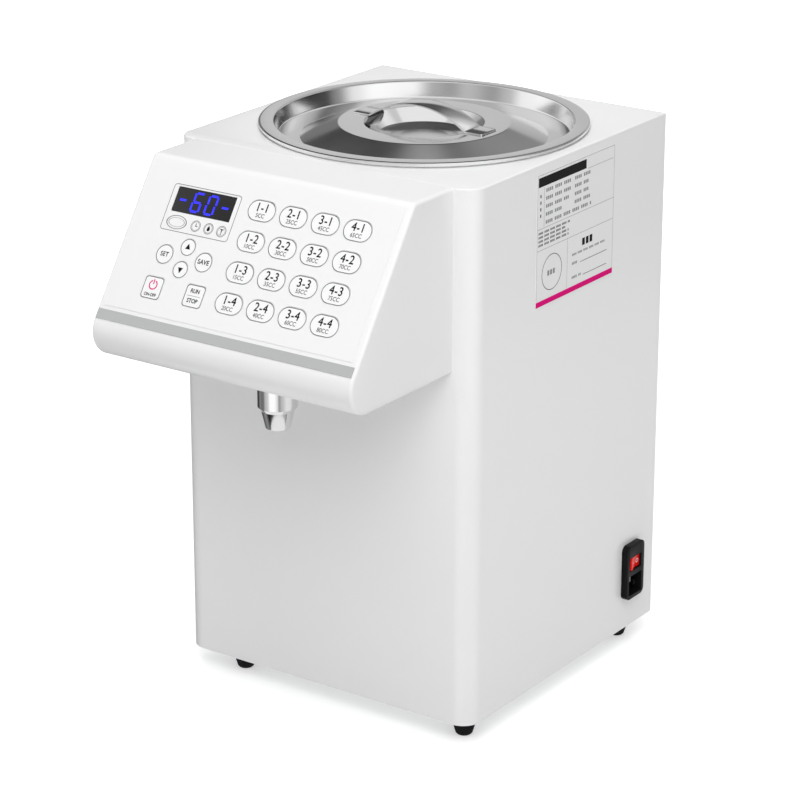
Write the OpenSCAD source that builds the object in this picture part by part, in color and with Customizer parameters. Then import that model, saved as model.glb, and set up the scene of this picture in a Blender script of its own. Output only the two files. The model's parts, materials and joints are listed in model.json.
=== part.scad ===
// Countertop syrup dispenser: a painted cabinet with a lift-off lid over a round tank,
// a pump below the tank, and an overhanging keypad head with a nozzle under it.
// Millimetres, +Z up, the front faces -Y, and z = 0 is the surface that the feet stand on.

/* [Cabinet] */
// Width of the cabinet
body_w = 270; // [262:1:300]
// Depth of the cabinet
body_d = 269; // [262:1:300]
// Height of the cabinet without its feet
body_h = 421; // [410:1:460]
// Radius of the two upright front corners
corner_r = 15.8; // [10:0.2:16]
// Thickness of the painted sheet metal
sheet_t = 1.2; // [1:0.1:1.5]
// Height of the rubber feet
foot_h = 16; // [12:1:20]
// Distance from the left side to the middle of the left feet
foot_left = 42; // [20:1:45]
// Distance from the right side to the middle of the right feet
foot_right = 18; // [18:1:45]

/* [Head] */
// Width of the keypad head
head_w = 235; // [233:1:237]
// Height of the keypad head
head_h = 140; // [138:1:144]
// Depth of the level strip on top of the head
head_flat = 47.7; // [44:0.1:50]
// Slope of the keypad panel, in degrees from level
panel_slope = 55.8; // [54:0.1:57]
// Radius of the nose along the lower front edge
nose_r = 20.6; // [18:0.1:24]
// Distance of the nozzle from the cabinet's front
nozzle_out = 54.5; // [50:0.5:60]
// Diameter of the nozzle
nozzle_d = 30.3; // [28:0.1:34]
// Length of the nozzle below the head
nozzle_l = 49.5; // [40:0.5:60]

/* [Keypad] */
// Width of a portion key
key_w = 24; // [20:0.5:25]
// Height of a portion key, also the diameter of its round ends
key_h = 15.8; // [12:0.2:18]
// Distance between the columns of portion keys
key_pitch_x = 28.2; // [27.5:0.1:29]
// Distance between the rows of portion keys
key_pitch_y = 23.9; // [21:0.1:24.5]
// How far a key goes in when it is pressed
key_travel = 0.6; // [0.4:0.1:0.8]
// Gap around each key
key_gap = 0.35; // [0.3:0.05:0.5]

/* [Tank and lid] */
// Inner radius of the tank
tank_r = 116.5; // [115.5:0.5:117]
// Thickness of the tank's sheet
tank_t = 1; // [0.8:0.1:1.2]
// Radius of the tank's flange
flange_r = 125.6; // [124:0.1:126]
// Radius of the lid
lid_r = 126.7; // [126:0.1:128]
// Thickness of the lid's sheet
lid_t = 0.9; // [0.8:0.1:1]
// Width of the lid's strap handle
strap_w = 21; // [16:1:24]

/* [Hidden] */

$fn = 96;
eps = 0.01;

// Cabinet
head_out = head_flat + ((head_h - nose_r) * cos(panel_slope) - nose_r) / sin(panel_slope) + nose_r;
front_y = -(body_d - head_out) / 2;
back_y = front_y + body_d;
mid_y = (front_y + back_y) / 2;
base_z = foot_h;
top_z = base_z + body_h;
side_x = body_w / 2;
flange_w = 12;
flange_end = 14;
back_gap = 0.3;
hole_fit = 0.1;

// Feet
foot_r_top = 11;
foot_r_low = 6.6;
foot_edge = 1.2;
foot_recess_r = 4.2;
foot_recess_h = 5;
foot_inset_front = 21;
foot_inset_back = 24;
foot_screw_r = 2.4;
foot_screw_head = 2.4;
foot_nut_r = 4.6;
foot_nut_h = 3;
foot_spots = [for (x = [-side_x + foot_left, side_x - foot_right],
                   y = [front_y + foot_inset_front, back_y - foot_inset_back]) [x, y]];

// Back panel
back_screw_r = 1.9;
back_screw_l = 7;
back_head_r = 3.6;
back_head_h = 1.6;
slot_w = 0.8;
slot_deep = 0.7;
back_screw_x = side_x - sheet_t - 6;
back_screw_z = [base_z + 24, base_z + body_h / 2, top_z - 24];
vent_w = 3;
vent_l = 60;
vent_count = 9;
vent_step = 9;
vent_low = 40;
vent_x = 55;
drain_x = 30;

// Tank and lid
gasket_t = 0.8;
rim_z = top_z + gasket_t + tank_t;
tank_low = 236;
tank_cone = 262;
tank_flat_r = 16;
outlet_bore = 8;
outlet_rim_r = 13;
outlet_rim_t = 2;
outlet_neck = 214;
outlet_low = 204;
outlet_inner_r = 4;
outlet_nut_h = 9;
rim_top = top_z + 3.9;
lid_wall_r = 115.1;
lid_floor = top_z - 8.7;
lid_top = top_z + 1.5;
cone_r_low = 95;
cone_r_top = 66.1;
bowl_r_top = 46.5;
bowl_r_low = 26;
bowl_mid_r = 35;
bowl_mid_z = lid_top - 8;
bowl_z = lid_top - 10.5;
hem_w = 1.8;
strap_t = 1.2;
strap_half = 44;
strap_end = 59.5;
strap_lap = 2.4;
strap_top = top_z + 16.8;
strap_rise = strap_top - lid_top - strap_t;
strap_arc = (pow(strap_half, 2) + pow(strap_rise, 2)) / (2 * strap_rise);

// Head
nose_y = front_y - head_out + nose_r;
nose_z = top_z - head_h + nose_r;
panel_y = front_y - head_flat;
head_low = top_z - head_h;
nozzle_y = front_y - nozzle_out;
nozzle_tip = head_low - nozzle_l;
cone_h = 14;
chamfer_h = 3;
tip_r = 9.5;
neck_r = 12.7;
stem_r = 8;
stem_top = head_low + 28;
stem_barb = 10;
stem_nut_h = 7;
nozzle_bore = 2.75;
hose_hole_z = 353;
hose_hole_r = 11;
loom_hole_x = -86;
loom_hole_z = 362;
loom_hole_r = 6;
head_screw_r = 2;
head_screw_hole_r = 2.2;
head_screw_l = 8;
head_screw_cap = 2;
head_screw_nut = 3;
head_flange_w = 20;
nut_r = 14;
head_screw_spots = [for (x = [-104, 104], z = [head_low + 14, top_z - 16]) [x, z]];

// Keypad, measured across the panel (x) and down its slope (s)
overlay_t = 0.4;
overlay = [-112, 112, 4, 120];
key_x0 = -5;
key_s0 = 27.4;
key_rise = 0.25;
key_lip = 1;
key_lip_t = 0.8;
key_back = 0.3;
nub_r = 2;
window = [-83, -29.5, 21.4, 40.8];
strip = [-115.2, 115.2, 123.2, 131];
board_top = 10.4;
board_t = 1.6;
board = [-98, 98, 14, 116];
switch_size = 6;
switch_h = 3.5;
nub_low = board_top - switch_h - key_travel - 0.3;
round_keys = [["key_up", -56.5, 64.9, 12.8], ["key_down", -56.5, 82.3, 12.8],
              ["key_set", -74.7, 73.5, 14.8], ["key_save", -38.8, 73.5, 14.8]];
square_keys = [["key_power", -74.9, 99.8, 16.8], ["key_stop", -36.8, 99.3, 16.8]];
square_key_r = 2.5;
post_r = 3;
post_hole_r = 1.2;
ear = [8, 6, 2];
post_spots = [[-104, 10], [104, 10], [-104, 116], [104, 116]];

// Pump
pump_z = 100;
gear_step = 28;
gear_teeth = 8;
gear_tip = 16.2;
gear_root = 10.6;
gear_gap = 0.4;
gear_slope = 20;
gear_pitch_r = gear_step / 2;
gear_base_r = gear_pitch_r * cos(gear_slope);
tooth_half_angle = 9.4;
shaft_r = 4;
shaft_fit = 0.05;
shaft_end = 3.6;
gear_side_gap = 0.3;
pump_front = mid_y - 9;
pump_bay = mid_y + 9;
pump_back = pump_bay + 8;
pump_half_w = 35;
pump_half_h = 25;
cover_t = 6;
port_r = 6.5;
port_l = 10;
motor_r = 29;
motor_front = pump_back + 3;
motor_back = motor_front + 87;
motor_socket = 10;
motor_cap_r = 10;
motor_cap_h = 8;
drive_x = gear_step / 2;
bracket_w = 88;
bracket_foot = 45;
bracket_over = 5;
hose_r = 5.5;
hose_t = 2.4;
hose_bend = 18;
hose_low_z = 40;
hose_rise_y = front_y + 9.2;

// Mains inlet and switch
inlet_y = back_y - 35.3;
inlet_w = 26.5;
inlet_low = base_z + 26.5;
inlet_high = base_z + 73.1;
inlet_out = 5.4;
inlet_r = 5;
inlet_deep = 30;
inlet_body_in = 2.3;
inlet_cut_in = 2;
socket_w = 19.5;
socket_h = 17;
socket_z = base_z + 38;
socket_deep = 19;
pin_short = 5;
pin_tail = 8;
pin_spots = [[-6.5, -2], [0, 2.5], [6.5, -2]];
rocker_z = base_z + 56.6;
rocker_half_w = 7.4;
rocker_half_h = 5.3;
rocker_bay_w = 8.8;
rocker_bay_h = 5.7;
rocker_bay_deep = 16;
rocker_tilt = 8;
rocker_pivot_x = side_x - 1.5;
rocker_face = 6.4;
rocker_dip = 1.2;
rocker_shoulder = 1;
rocker_heel = [6, 1.5];
rocker_pin_r = 1.5;
rocker_pin_l = 7.4;
pin_w = 2;
pin_h = 4;

// Power board and wiring
power = [-124, -56, 30, 140];
power_z = 27;
transformer = [36, 32, 28];
capacitor_r = 7;
capacitor_h = 22;
terminal = [24, 10, 12];
loom_r = 3;
head_loom_r = 2.5;

// Side label
label_low_y = front_y + 83.8;
label_high_y = front_y + 192.6;
label_low_z = top_z - 109.7;
label_high_z = top_z - 7.9;
label_t = 0.3;

// Points along the delivery hose, from the pump's lower port to the nozzle
delivery_path = concat(
    [[0, mid_y, pump_z - pump_half_h - port_l]],
    arc_yz(mid_y - hose_bend, hose_low_z + hose_bend, hose_bend, 0, -90),
    arc_yz(hose_rise_y + hose_bend, hose_low_z + hose_bend, hose_bend, -90, -180),
    [[0, hose_rise_y, 160], [0, hose_rise_y, 250]],
    arc_yz(hose_rise_y - hose_bend, hose_hole_z - hose_bend, hose_bend, 0, 90),
    arc_yz(nozzle_y + hose_bend, hose_hole_z - hose_bend, hose_bend, 90, 180),
    [[0, nozzle_y, stem_top]]);

// Points along the mains lead and along the lead to the keypad
mains_path = [[105, 160, 66], [88, 160, 66], [77, 167, 58], [70, 178, 44], [60, 182, 34], [40, 184, 30],
              [0, 184, 28], [-50, 184, 28], [-74, 180, 28], [-84, 170, 30], [-90, 158, 33], [-90, 150, 35],
              [-90, 138, 35]];
head_path = [[-90, 32, 35], [-90, 20, 35], [-96, 4, 35], [-106, -20, 38], [-114, -40, 46], [-118, -48, 60],
             [-118, -48, 120], [-118, -48, 200], [-118, -48, 280], [-118, -48, 330], [-114, -49, 346],
             [-106, -51, 356], [-97, -54, 361], [-90, -60, 362], [-86, -68, 362], [-86, -78, 362],
             [-85, -92, 363], [-83, -105, 366], [-81, -116, 371], [-80, -125, 376], [-80, -132, 380.6],
             [-80, -139.6, 385.8]];

// An arc in the Y-Z plane, as centre, radius and the angles at its ends
function arc_yz(y, z, r, from, to) =
    [for (i = [0:8]) let (a = from + (to - from) * i / 8) [0, y + r * cos(a), z + r * sin(a)]];

function unit(v) = v / norm(v);

// Angle of the unrolled flank of a gear tooth, in degrees
function unroll(a) = tan(a) * 180 / PI - a;

// Half the angle that a tooth covers at radius r
function tooth_half(r) =
    tooth_half_angle + unroll(gear_slope) - unroll(acos(min(1, gear_base_r / r)));

function tangent(path, i) =
    unit(path[min(i + 1, len(path) - 1)] - path[max(i - 1, 0)]);

// A closed tube of one polyhedron along a path; up is a direction that the path never takes
module tube(path, r, sides, up) {
    last = len(path) - 1;
    points = [for (i = [0:last])
        let (t = tangent(path, i), u = unit(cross(t, up)), v = cross(t, u))
        for (k = [0:sides - 1]) path[i] + r * (u * cos(360 * k / sides) + v * sin(360 * k / sides))];
    walls = [for (i = [0:last - 1], k = [0:sides - 1])
        let (n = (k + 1) % sides)
        [i * sides + k, (i + 1) * sides + k, (i + 1) * sides + n, i * sides + n]];
    ends = [[for (k = [0:sides - 1]) k], [for (k = [sides - 1:-1:0]) last * sides + k]];
    polyhedron(points, concat(walls, ends));
}

// Plan outline of the cabinet, taken in by t
module plan(t = 0) {
    r = corner_r - t;
    translate([-side_x + t, front_y + corner_r])
        square([body_w - 2 * t, body_d - corner_r - t]);
    translate([-side_x + corner_r, front_y + t])
        square([body_w - 2 * corner_r, corner_r]);
    for (x = [-1, 1])
        translate([x * (side_x - corner_r), front_y + corner_r])
            circle(r);
}

// Side outline of the head in (y, z), taken in by t
module head_outline(t = 0) {
    s = sin(panel_slope);
    c = cos(panel_slope);
    r = nose_r - t;
    top_y = panel_y + t * (1 - c) / s;
    polygon([[front_y, top_z - t], [top_y, top_z - t], [nose_y - r * s, nose_z + r * c],
             [nose_y, nose_z], [nose_y, nose_z - r], [front_y, nose_z - r]]);
    translate([nose_y, nose_z])
        circle(r);
}

module along_x(w) {
    translate([-w / 2, 0, 0])
        rotate([90, 0, 90])
            linear_extrude(w)
                children();
}

// Turns children that are drawn upwards so that they point to the back from a point
module back_from(x, y, z) {
    translate([x, y, z])
        rotate([-90, 0, 0])
            children();
}

// Puts children drawn on the level plane onto the keypad panel, x across and y up the slope
module on_panel() {
    translate([0, panel_y, top_z])
        rotate([panel_slope, 0, 0])
            children();
}

// A plate on the panel from [x0, x1, s0, s1], between two heights over the panel
module panel_plate(box, low, high) {
    on_panel()
        translate([box[0], -box[3], low])
            cube([box[1] - box[0], box[3] - box[2], high - low]);
}

module pill(w, h) {
    square([w - h, h], center = true);
    for (x = [-1, 1])
        translate([x * (w - h) / 2, 0])
            circle(h / 2);
}

module round_square(w, h, r) {
    square([w - 2 * r, h], center = true);
    square([w, h - 2 * r], center = true);
    for (x = [-1, 1], y = [-1, 1])
        translate([x * (w / 2 - r), y * (h / 2 - r)])
            circle(r);
}

// Outlines of all keys, grown by g
module key_outlines(g) {
    for (row = [0:3], col = [0:3])
        translate([key_x0 + col * key_pitch_x, -(key_s0 + row * key_pitch_y)])
            pill(key_w + 2 * g, key_h + 2 * g);
    for (k = round_keys)
        translate([k[1], -k[2]])
            circle(k[3] / 2 + g);
    for (k = square_keys)
        translate([k[1], -k[2]])
            round_square(k[3] + 2 * g, k[3] + 2 * g, square_key_r + g);
}

// Holes for the keys and the window, cut through the panel and its overlay
module panel_holes() {
    on_panel()
        translate([0, 0, -4])
            linear_extrude(8) {
                key_outlines(key_gap);
                translate([window[0], -window[3]])
                    square([window[1] - window[0], window[3] - window[2]]);
            }
}

module body_wrap() {
    color("white")
        difference() {
            translate([0, 0, base_z])
                linear_extrude(body_h - sheet_t)
                    difference() {
                        plan();
                        plan(sheet_t);
                        translate([-side_x + sheet_t, mid_y])
                            square([body_w - 2 * sheet_t, body_d]);
                    }
            wrap_holes();
        }
    color("white")
        back_flanges();
}

// Openings behind the head, and the cut-out for the mains inlet
module wrap_holes() {
    back_from(0, front_y - 1, hose_hole_z)
        cylinder(r = hose_hole_r, h = 4);
    back_from(loom_hole_x, front_y - 1, loom_hole_z)
        cylinder(r = loom_hole_r, h = 4);
    for (p = head_screw_spots)
        back_from(p[0], front_y - 1, p[1])
            cylinder(r = head_screw_hole_r, h = 4);
    translate([side_x - 3, inlet_y - inlet_w / 2 + inlet_cut_in, inlet_low + inlet_cut_in])
        cube([6, inlet_w - 2 * inlet_cut_in, inlet_high - inlet_low - 2 * inlet_cut_in]);
}

// Narrow returns along the rear edges of the sides, where the back panel is screwed on
module back_flanges() {
    for (side = [-1, 1])
        difference() {
            translate([side > 0 ? side_x - sheet_t - flange_w : -side_x + sheet_t,
                       back_y - 2 * sheet_t, base_z + flange_end])
                cube([flange_w, sheet_t, body_h - 2 * flange_end]);
            for (z = back_screw_z)
                back_from(side * back_screw_x, back_y - 3 * sheet_t, z)
                    cylinder(r = back_screw_r + hole_fit, h = 4);
        }
}

module top_cover() {
    color("white")
        translate([0, 0, top_z - sheet_t])
            linear_extrude(sheet_t)
                difference() {
                    plan();
                    translate([0, mid_y])
                        circle(tank_r + tank_t + 1);
                }
}

module back_panel() {
    color("white")
        difference() {
            translate([-side_x + sheet_t + back_gap, back_y - sheet_t, base_z + 1])
                cube([body_w - 2 * sheet_t - 2 * back_gap, sheet_t, body_h - sheet_t - 2]);
            for (side = [-1, 1], z = back_screw_z)
                back_from(side * back_screw_x, back_y - 2 * sheet_t, z)
                    cylinder(r = back_screw_r + hole_fit, h = 4);
            for (side = [-1, 1], i = [0:vent_count - 1])
                translate([side * vent_x - vent_l / 2, back_y - 2 * sheet_t,
                           base_z + vent_low + i * vent_step])
                    cube([vent_l, 4, vent_w]);
        }
}

module base_pan() {
    inner = sheet_t + back_gap;
    color("lightgray")
        difference() {
            union() {
                translate([0, 0, base_z])
                    linear_extrude(sheet_t)
                        plan_inside(inner);
                translate([0, 0, base_z])
                    linear_extrude(flange_w)
                        difference() {
                            plan_inside(inner);
                            plan_inside(inner + sheet_t);
                        }
            }
            for (p = foot_spots)
                translate([p[0], p[1], base_z - 1])
                    cylinder(r = foot_screw_r + 2 * hole_fit, h = 4);
            for (i = [0:vent_count - 1])
                translate([drain_x, mid_y - vent_l + i * vent_step, base_z - 1])
                    cube([vent_l, vent_w, 4]);
        }
}

// Plan outline inside the cabinet walls and in front of the back flanges
module plan_inside(t) {
    difference() {
        plan(t);
        translate([-side_x, back_y - 2 * sheet_t - t])
            square([body_w, body_d]);
    }
}

module rubber_feet() {
    color("black")
        for (p = foot_spots)
            translate([p[0], p[1], 0])
                difference() {
                    union() {
                        cylinder(r1 = foot_r_low - foot_edge, r2 = foot_r_low, h = foot_edge);
                        translate([0, 0, foot_edge])
                            cylinder(r1 = foot_r_low, r2 = foot_r_top, h = foot_h - foot_edge);
                    }
                    translate([0, 0, -1])
                        cylinder(r = foot_recess_r, h = foot_recess_h + 1);
                    translate([0, 0, -1])
                        cylinder(r = foot_screw_r + hole_fit, h = foot_h + 2);
                }
}

module foot_screws() {
    color("silver")
        for (p = foot_spots)
            translate([p[0], p[1], 0]) {
                translate([0, 0, foot_recess_h - foot_screw_head])
                    cylinder(r = foot_recess_r - 2 * hole_fit, h = foot_screw_head);
                translate([0, 0, foot_recess_h - 0.2])
                    cylinder(r = foot_screw_r, h = foot_h + 1);
                translate([0, 0, foot_h + sheet_t])
                    cylinder(r = foot_nut_r, h = foot_nut_h, $fn = 6);
            }
}

module back_screws() {
    color("silver")
        for (side = [-1, 1], z = back_screw_z)
            translate([side * back_screw_x, back_y, z])
                rotate([-90, 0, 0])
                    difference() {
                        union() {
                            cylinder(r = back_head_r, h = back_head_h);
                            translate([0, 0, -back_screw_l])
                                cylinder(r = back_screw_r, h = back_screw_l + 0.5);
                        }
                        for (a = [0, 90])
                            rotate([0, 0, a])
                                translate([-back_head_r / 2, -slot_w / 2, back_head_h - slot_deep])
                                    cube([back_head_r, slot_w, 2]);
                    }
}

module tank() {
    color("silver")
        translate([0, mid_y, 0])
            difference() {
                union() {
                    translate([0, 0, tank_low])
                        cylinder(r1 = tank_flat_r, r2 = tank_r + tank_t, h = tank_cone - tank_low);
                    translate([0, 0, tank_cone])
                        cylinder(r = tank_r + tank_t, h = rim_z - tank_cone);
                    translate([0, 0, rim_z - tank_t])
                        cylinder(r = flange_r, h = tank_t);
                }
                translate([0, 0, tank_low + tank_t])
                    cylinder(r1 = tank_flat_r, r2 = tank_r, h = tank_cone - tank_low);
                translate([0, 0, tank_cone + tank_t - eps])
                    cylinder(r = tank_r, h = rim_z);
                translate([0, 0, tank_low - 1])
                    cylinder(r = outlet_bore, h = 4);
            }
}

module tank_gasket() {
    color("gray")
        translate([0, mid_y, top_z])
            difference() {
                cylinder(r = flange_r - 1.2, h = gasket_t);
                translate([0, 0, -1])
                    cylinder(r = tank_r + tank_t + 1.4, h = 3);
            }
}

module tank_outlet() {
    color("gold")
        translate([0, mid_y, 0])
            difference() {
                union() {
                    translate([0, 0, tank_low + tank_t])
                        cylinder(r = outlet_rim_r, h = outlet_rim_t);
                    translate([0, 0, outlet_neck])
                        cylinder(r = outlet_bore - 0.2, h = tank_low + tank_t + eps - outlet_neck);
                    translate([0, 0, outlet_low])
                        cylinder(r = port_r, h = outlet_neck + 1 - outlet_low);
                }
                translate([0, 0, outlet_low - 1])
                    cylinder(r = outlet_inner_r, h = tank_cone - outlet_low);
            }
}

module outlet_nut() {
    color("gold")
        translate([0, mid_y, tank_low - outlet_nut_h])
            difference() {
                cylinder(r = nut_r, h = outlet_nut_h, $fn = 6);
                translate([0, 0, -1])
                    cylinder(r = outlet_bore, h = outlet_nut_h + 2);
            }
}

// Section of the lid: a flat rim, a wall, a trough, a raised cone and a sunk bowl
module lid_pan() {
    color("silver")
        translate([0, mid_y, 0])
            rotate_extrude()
                lid_section();
}

module lid_section() {
    t = lid_t;
    polygon([[0, bowl_z], [bowl_r_low, bowl_z], [bowl_mid_r, bowl_mid_z], [bowl_r_top, lid_top],
             [cone_r_top, lid_top], [cone_r_low, lid_floor], [lid_wall_r, lid_floor],
             [lid_wall_r, rim_top], [lid_r, rim_top], [lid_r, rim_z], [lid_r - hem_w, rim_z],
             [lid_r - hem_w, rim_top - t], [lid_wall_r + t, rim_top - t],
             [lid_wall_r + t, lid_floor - t], [cone_r_low - t / 3, lid_floor - t],
             [cone_r_top - t / 3, lid_top - t], [bowl_r_top + t / 3, lid_top - t],
             [bowl_mid_r + t / 2, bowl_mid_z - t], [bowl_r_low + t / 4, bowl_z - t], [0, bowl_z - t]]);
}

// A strap bent to an arc, with a flat foot at each end
module lid_handle() {
    inner = strap_arc - strap_t;
    centre = strap_top - strap_arc;
    color("silver")
        translate([0, mid_y + strap_w / 2, 0])
            rotate([90, 0, 0])
                linear_extrude(strap_w) {
                    intersection() {
                        translate([0, centre])
                            difference() {
                                circle(strap_arc);
                                circle(inner);
                            }
                        translate([-strap_half - 1, lid_top])
                            square([2 * strap_half + 2, 40]);
                    }
                    for (side = [-1, 1])
                        translate([side > 0 ? strap_half - strap_lap : -strap_end, lid_top])
                            square([strap_end - strap_half + strap_lap, strap_t]);
                }
}

module suction_hose() {
    low = pump_z + pump_half_h + 2;
    color("ivory")
        translate([0, mid_y, low])
            difference() {
                cylinder(r = port_r + hose_t, h = outlet_neck - 2 - low);
                translate([0, 0, -1])
                    cylinder(r = port_r + hole_fit, h = outlet_neck - low);
            }
}

module pump_body() {
    color("slategray")
        difference() {
            union() {
                translate([-pump_half_w, pump_front, pump_z - pump_half_h])
                    cube([2 * pump_half_w, pump_back - pump_front, 2 * pump_half_h]);
                translate([0, mid_y, pump_z])
                    cylinder(r = port_r, h = pump_half_h + port_l);
                translate([0, mid_y, pump_z - pump_half_h - port_l])
                    cylinder(r = hose_r, h = pump_half_h);
            }
            for (x = [-drive_x, drive_x])
                back_from(x, pump_front - 1, pump_z)
                    cylinder(r = gear_tip + gear_gap, h = pump_bay - pump_front + 1);
            translate([0, mid_y, pump_z - 2 * pump_half_h])
                cylinder(r = hose_r - 2, h = 4 * pump_half_h);
            back_from(drive_x, pump_front, pump_z)
                cylinder(r = shaft_r + shaft_fit, h = pump_back - pump_front + 1);
            back_from(-drive_x, pump_front, pump_z)
                cylinder(r = shaft_r + shaft_fit, h = pump_back - pump_front - 3);
        }
}

module pump_cover() {
    color("gainsboro")
        difference() {
            translate([-pump_half_w, pump_front - cover_t, pump_z - pump_half_h])
                cube([2 * pump_half_w, cover_t, 2 * pump_half_h]);
            for (x = [-drive_x, drive_x])
                back_from(x, pump_front - cover_t + 2, pump_z)
                    cylinder(r = shaft_r + shaft_fit, h = cover_t);
        }
}

module tooth() {
    radii = [gear_root - 1, gear_base_r, gear_pitch_r, (gear_pitch_r + gear_tip) / 2, gear_tip];
    polygon(concat(
        [for (r = radii) let (a = tooth_half(r)) r * [cos(a), -sin(a)]],
        [for (i = [len(radii) - 1:-1:0]) let (r = radii[i], a = tooth_half(r)) r * [cos(a), sin(a)]]));
}

// One pump gear on its shaft; turn puts a tooth, or a gap, towards the other gear
module pump_gear(turn, shaft_front, shaft_back) {
    step = 360 / gear_teeth;
    rotate([-90, 0, 0]) {
        translate([0, 0, pump_front + gear_side_gap])
            linear_extrude(pump_bay - pump_front - 2 * gear_side_gap) {
                circle(gear_root);
                for (i = [0:gear_teeth - 1])
                    rotate(turn + i * step)
                        tooth();
            }
        translate([0, 0, shaft_front])
            cylinder(r = shaft_r, h = shaft_back - shaft_front);
    }
}

module drive_gear() {
    color("dimgray")
        translate([drive_x, 0, pump_z])
            pump_gear(0, pump_front - shaft_end, motor_front + motor_socket - 1);
}

module idler_gear() {
    color("gray")
        translate([-drive_x, 0, pump_z])
            pump_gear(180 / gear_teeth, pump_front - shaft_end, pump_back - shaft_end);
}

module pump_motor() {
    color("darkslategray")
        translate([drive_x, 0, pump_z])
            rotate([-90, 0, 0])
                difference() {
                    union() {
                        translate([0, 0, motor_front])
                            cylinder(r = motor_r, h = motor_back - motor_front);
                        translate([0, 0, motor_back - 1])
                            cylinder(r = motor_cap_r, h = motor_cap_h + 1);
                    }
                    translate([0, 0, motor_front - 1])
                        cylinder(r = shaft_r + shaft_fit, h = motor_socket + 1);
                }
}

module motor_bracket() {
    low = base_z + sheet_t;
    color("lightgray")
        difference() {
            union() {
                translate([-bracket_w / 2, pump_back, low])
                    cube([bracket_w, motor_front - pump_back, pump_z + pump_half_h + bracket_over - low]);
                translate([-bracket_w / 2, motor_front - eps, low])
                    cube([bracket_w, bracket_foot, motor_front - pump_back]);
            }
            back_from(drive_x, pump_back - 1, pump_z)
                cylinder(r = shaft_r + 3, h = 6);
        }
}

module delivery_hose() {
    color("ivory")
        tube(delivery_path, hose_r, 12, [1, 0, 0]);
}

module nozzle() {
    color("silver")
        translate([0, nozzle_y, 0])
            difference() {
                union() {
                    translate([0, 0, nozzle_tip])
                        cylinder(r1 = tip_r, r2 = neck_r, h = cone_h);
                    translate([0, 0, nozzle_tip + cone_h])
                        cylinder(r1 = neck_r, r2 = nozzle_d / 2, h = chamfer_h);
                    translate([0, 0, nozzle_tip + cone_h + chamfer_h])
                        cylinder(r = nozzle_d / 2, h = nozzle_l - cone_h - chamfer_h);
                    translate([0, 0, head_low])
                        cylinder(r = stem_r, h = stem_top - head_low - stem_barb);
                    translate([0, 0, head_low])
                        cylinder(r = hose_r, h = stem_top - head_low);
                }
                translate([0, 0, nozzle_tip - 1])
                    cylinder(r = nozzle_bore, h = 100);
            }
}

module nozzle_nut() {
    color("silver")
        translate([0, nozzle_y, head_low + sheet_t])
            difference() {
                cylinder(r = nut_r, h = stem_nut_h, $fn = 6);
                translate([0, 0, -1])
                    cylinder(r = stem_r + hole_fit, h = stem_nut_h + 2);
            }
}

module head_shell() {
    inner_w = head_w - 2 * sheet_t;
    color("white")
        difference() {
            along_x(head_w)
                head_outline();
            difference() {
                along_x(inner_w)
                    head_outline(sheet_t);
                head_flanges(inner_w);
            }
            panel_holes();
            translate([0, nozzle_y, head_low - 1])
                cylinder(r = stem_r + 0.2, h = 4);
            for (p = head_screw_spots)
                back_from(p[0], front_y - 3, p[1])
                    cylinder(r = head_screw_hole_r, h = 6);
        }
}

// Side returns of the head, where it is screwed to the cabinet's front
module head_flanges(inner_w) {
    for (side = [-1, 1])
        translate([side > 0 ? inner_w / 2 - head_flange_w : -inner_w / 2 - 1, front_y - sheet_t, head_low])
            cube([head_flange_w + 1, sheet_t + 1, head_h]);
}

module head_screws() {
    color("silver")
        for (p = head_screw_spots)
            translate([p[0], front_y + sheet_t, p[1]])
                rotate([90, 0, 0]) {
                    translate([0, 0, -head_screw_cap])
                        cylinder(r = 2 * head_screw_r, h = head_screw_cap);
                    cylinder(r = head_screw_r, h = head_screw_l);
                    translate([0, 0, 2 * sheet_t])
                        cylinder(r = 2 * head_screw_r, h = head_screw_nut, $fn = 6);
                }
}

module keypad_overlay() {
    color("whitesmoke")
        difference() {
            panel_plate(overlay, 0, overlay_t);
            panel_holes();
        }
}

module display_window() {
    g = 0.15;
    color("black")
        panel_plate([window[0] + g, window[1] - g, window[2] + g, window[3] - g], -sheet_t, overlay_t + 0.1);
}

module display_module() {
    color("midnightblue")
        panel_plate([window[0] - 1, window[1] + 1, window[2] - 1, window[3] + 1], -board_top, -sheet_t - 0.4);
}

// Circuit board behind the panel, with a push switch under each key
module switch_board() {
    color("seagreen")
        panel_plate(board, -board_top - board_t, -board_top);
    color("black")
        on_panel()
            translate([0, 0, -board_top])
                linear_extrude(switch_h) {
                    for (row = [0:3], col = [0:3])
                        translate([key_x0 + col * key_pitch_x, -(key_s0 + row * key_pitch_y)])
                            square(switch_size, center = true);
                    for (k = concat(round_keys, square_keys))
                        translate([k[1], -k[2]])
                            square(switch_size, center = true);
                }
}

// Posts between the panel and the circuit board's ears
module board_posts() {
    color("silver")
        on_panel()
            for (p = post_spots)
                translate([p[0], -p[1], -board_top - board_t - ear[2]])
                    difference() {
                        union() {
                            cylinder(r = post_r, h = board_top + board_t + ear[2] - sheet_t);
                            translate([p[0] > 0 ? -ear[0] : 0, p[1] > 60 ? 0 : -ear[1], 0])
                                cube(ear);
                        }
                        translate([0, 0, -1])
                            cylinder(r = post_hole_r, h = 9);
                    }
}

module trim_strip() {
    color("darkgray")
        panel_plate(strip, 0, 0.5);
}

// A key: its face, a lip behind the panel and a nub over its switch
module key_solid(x, s) {
    on_panel()
        translate([x, -s, 0]) {
            translate([0, 0, -sheet_t - key_back])
                linear_extrude(sheet_t + key_back + overlay_t + key_rise)
                    children(0);
            translate([0, 0, -sheet_t - key_back - key_lip_t])
                linear_extrude(key_lip_t)
                    children(1);
            translate([0, 0, -nub_low])
                cylinder(r = nub_r, h = nub_low - sheet_t - key_back - key_lip_t + eps);
        }
}

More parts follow.
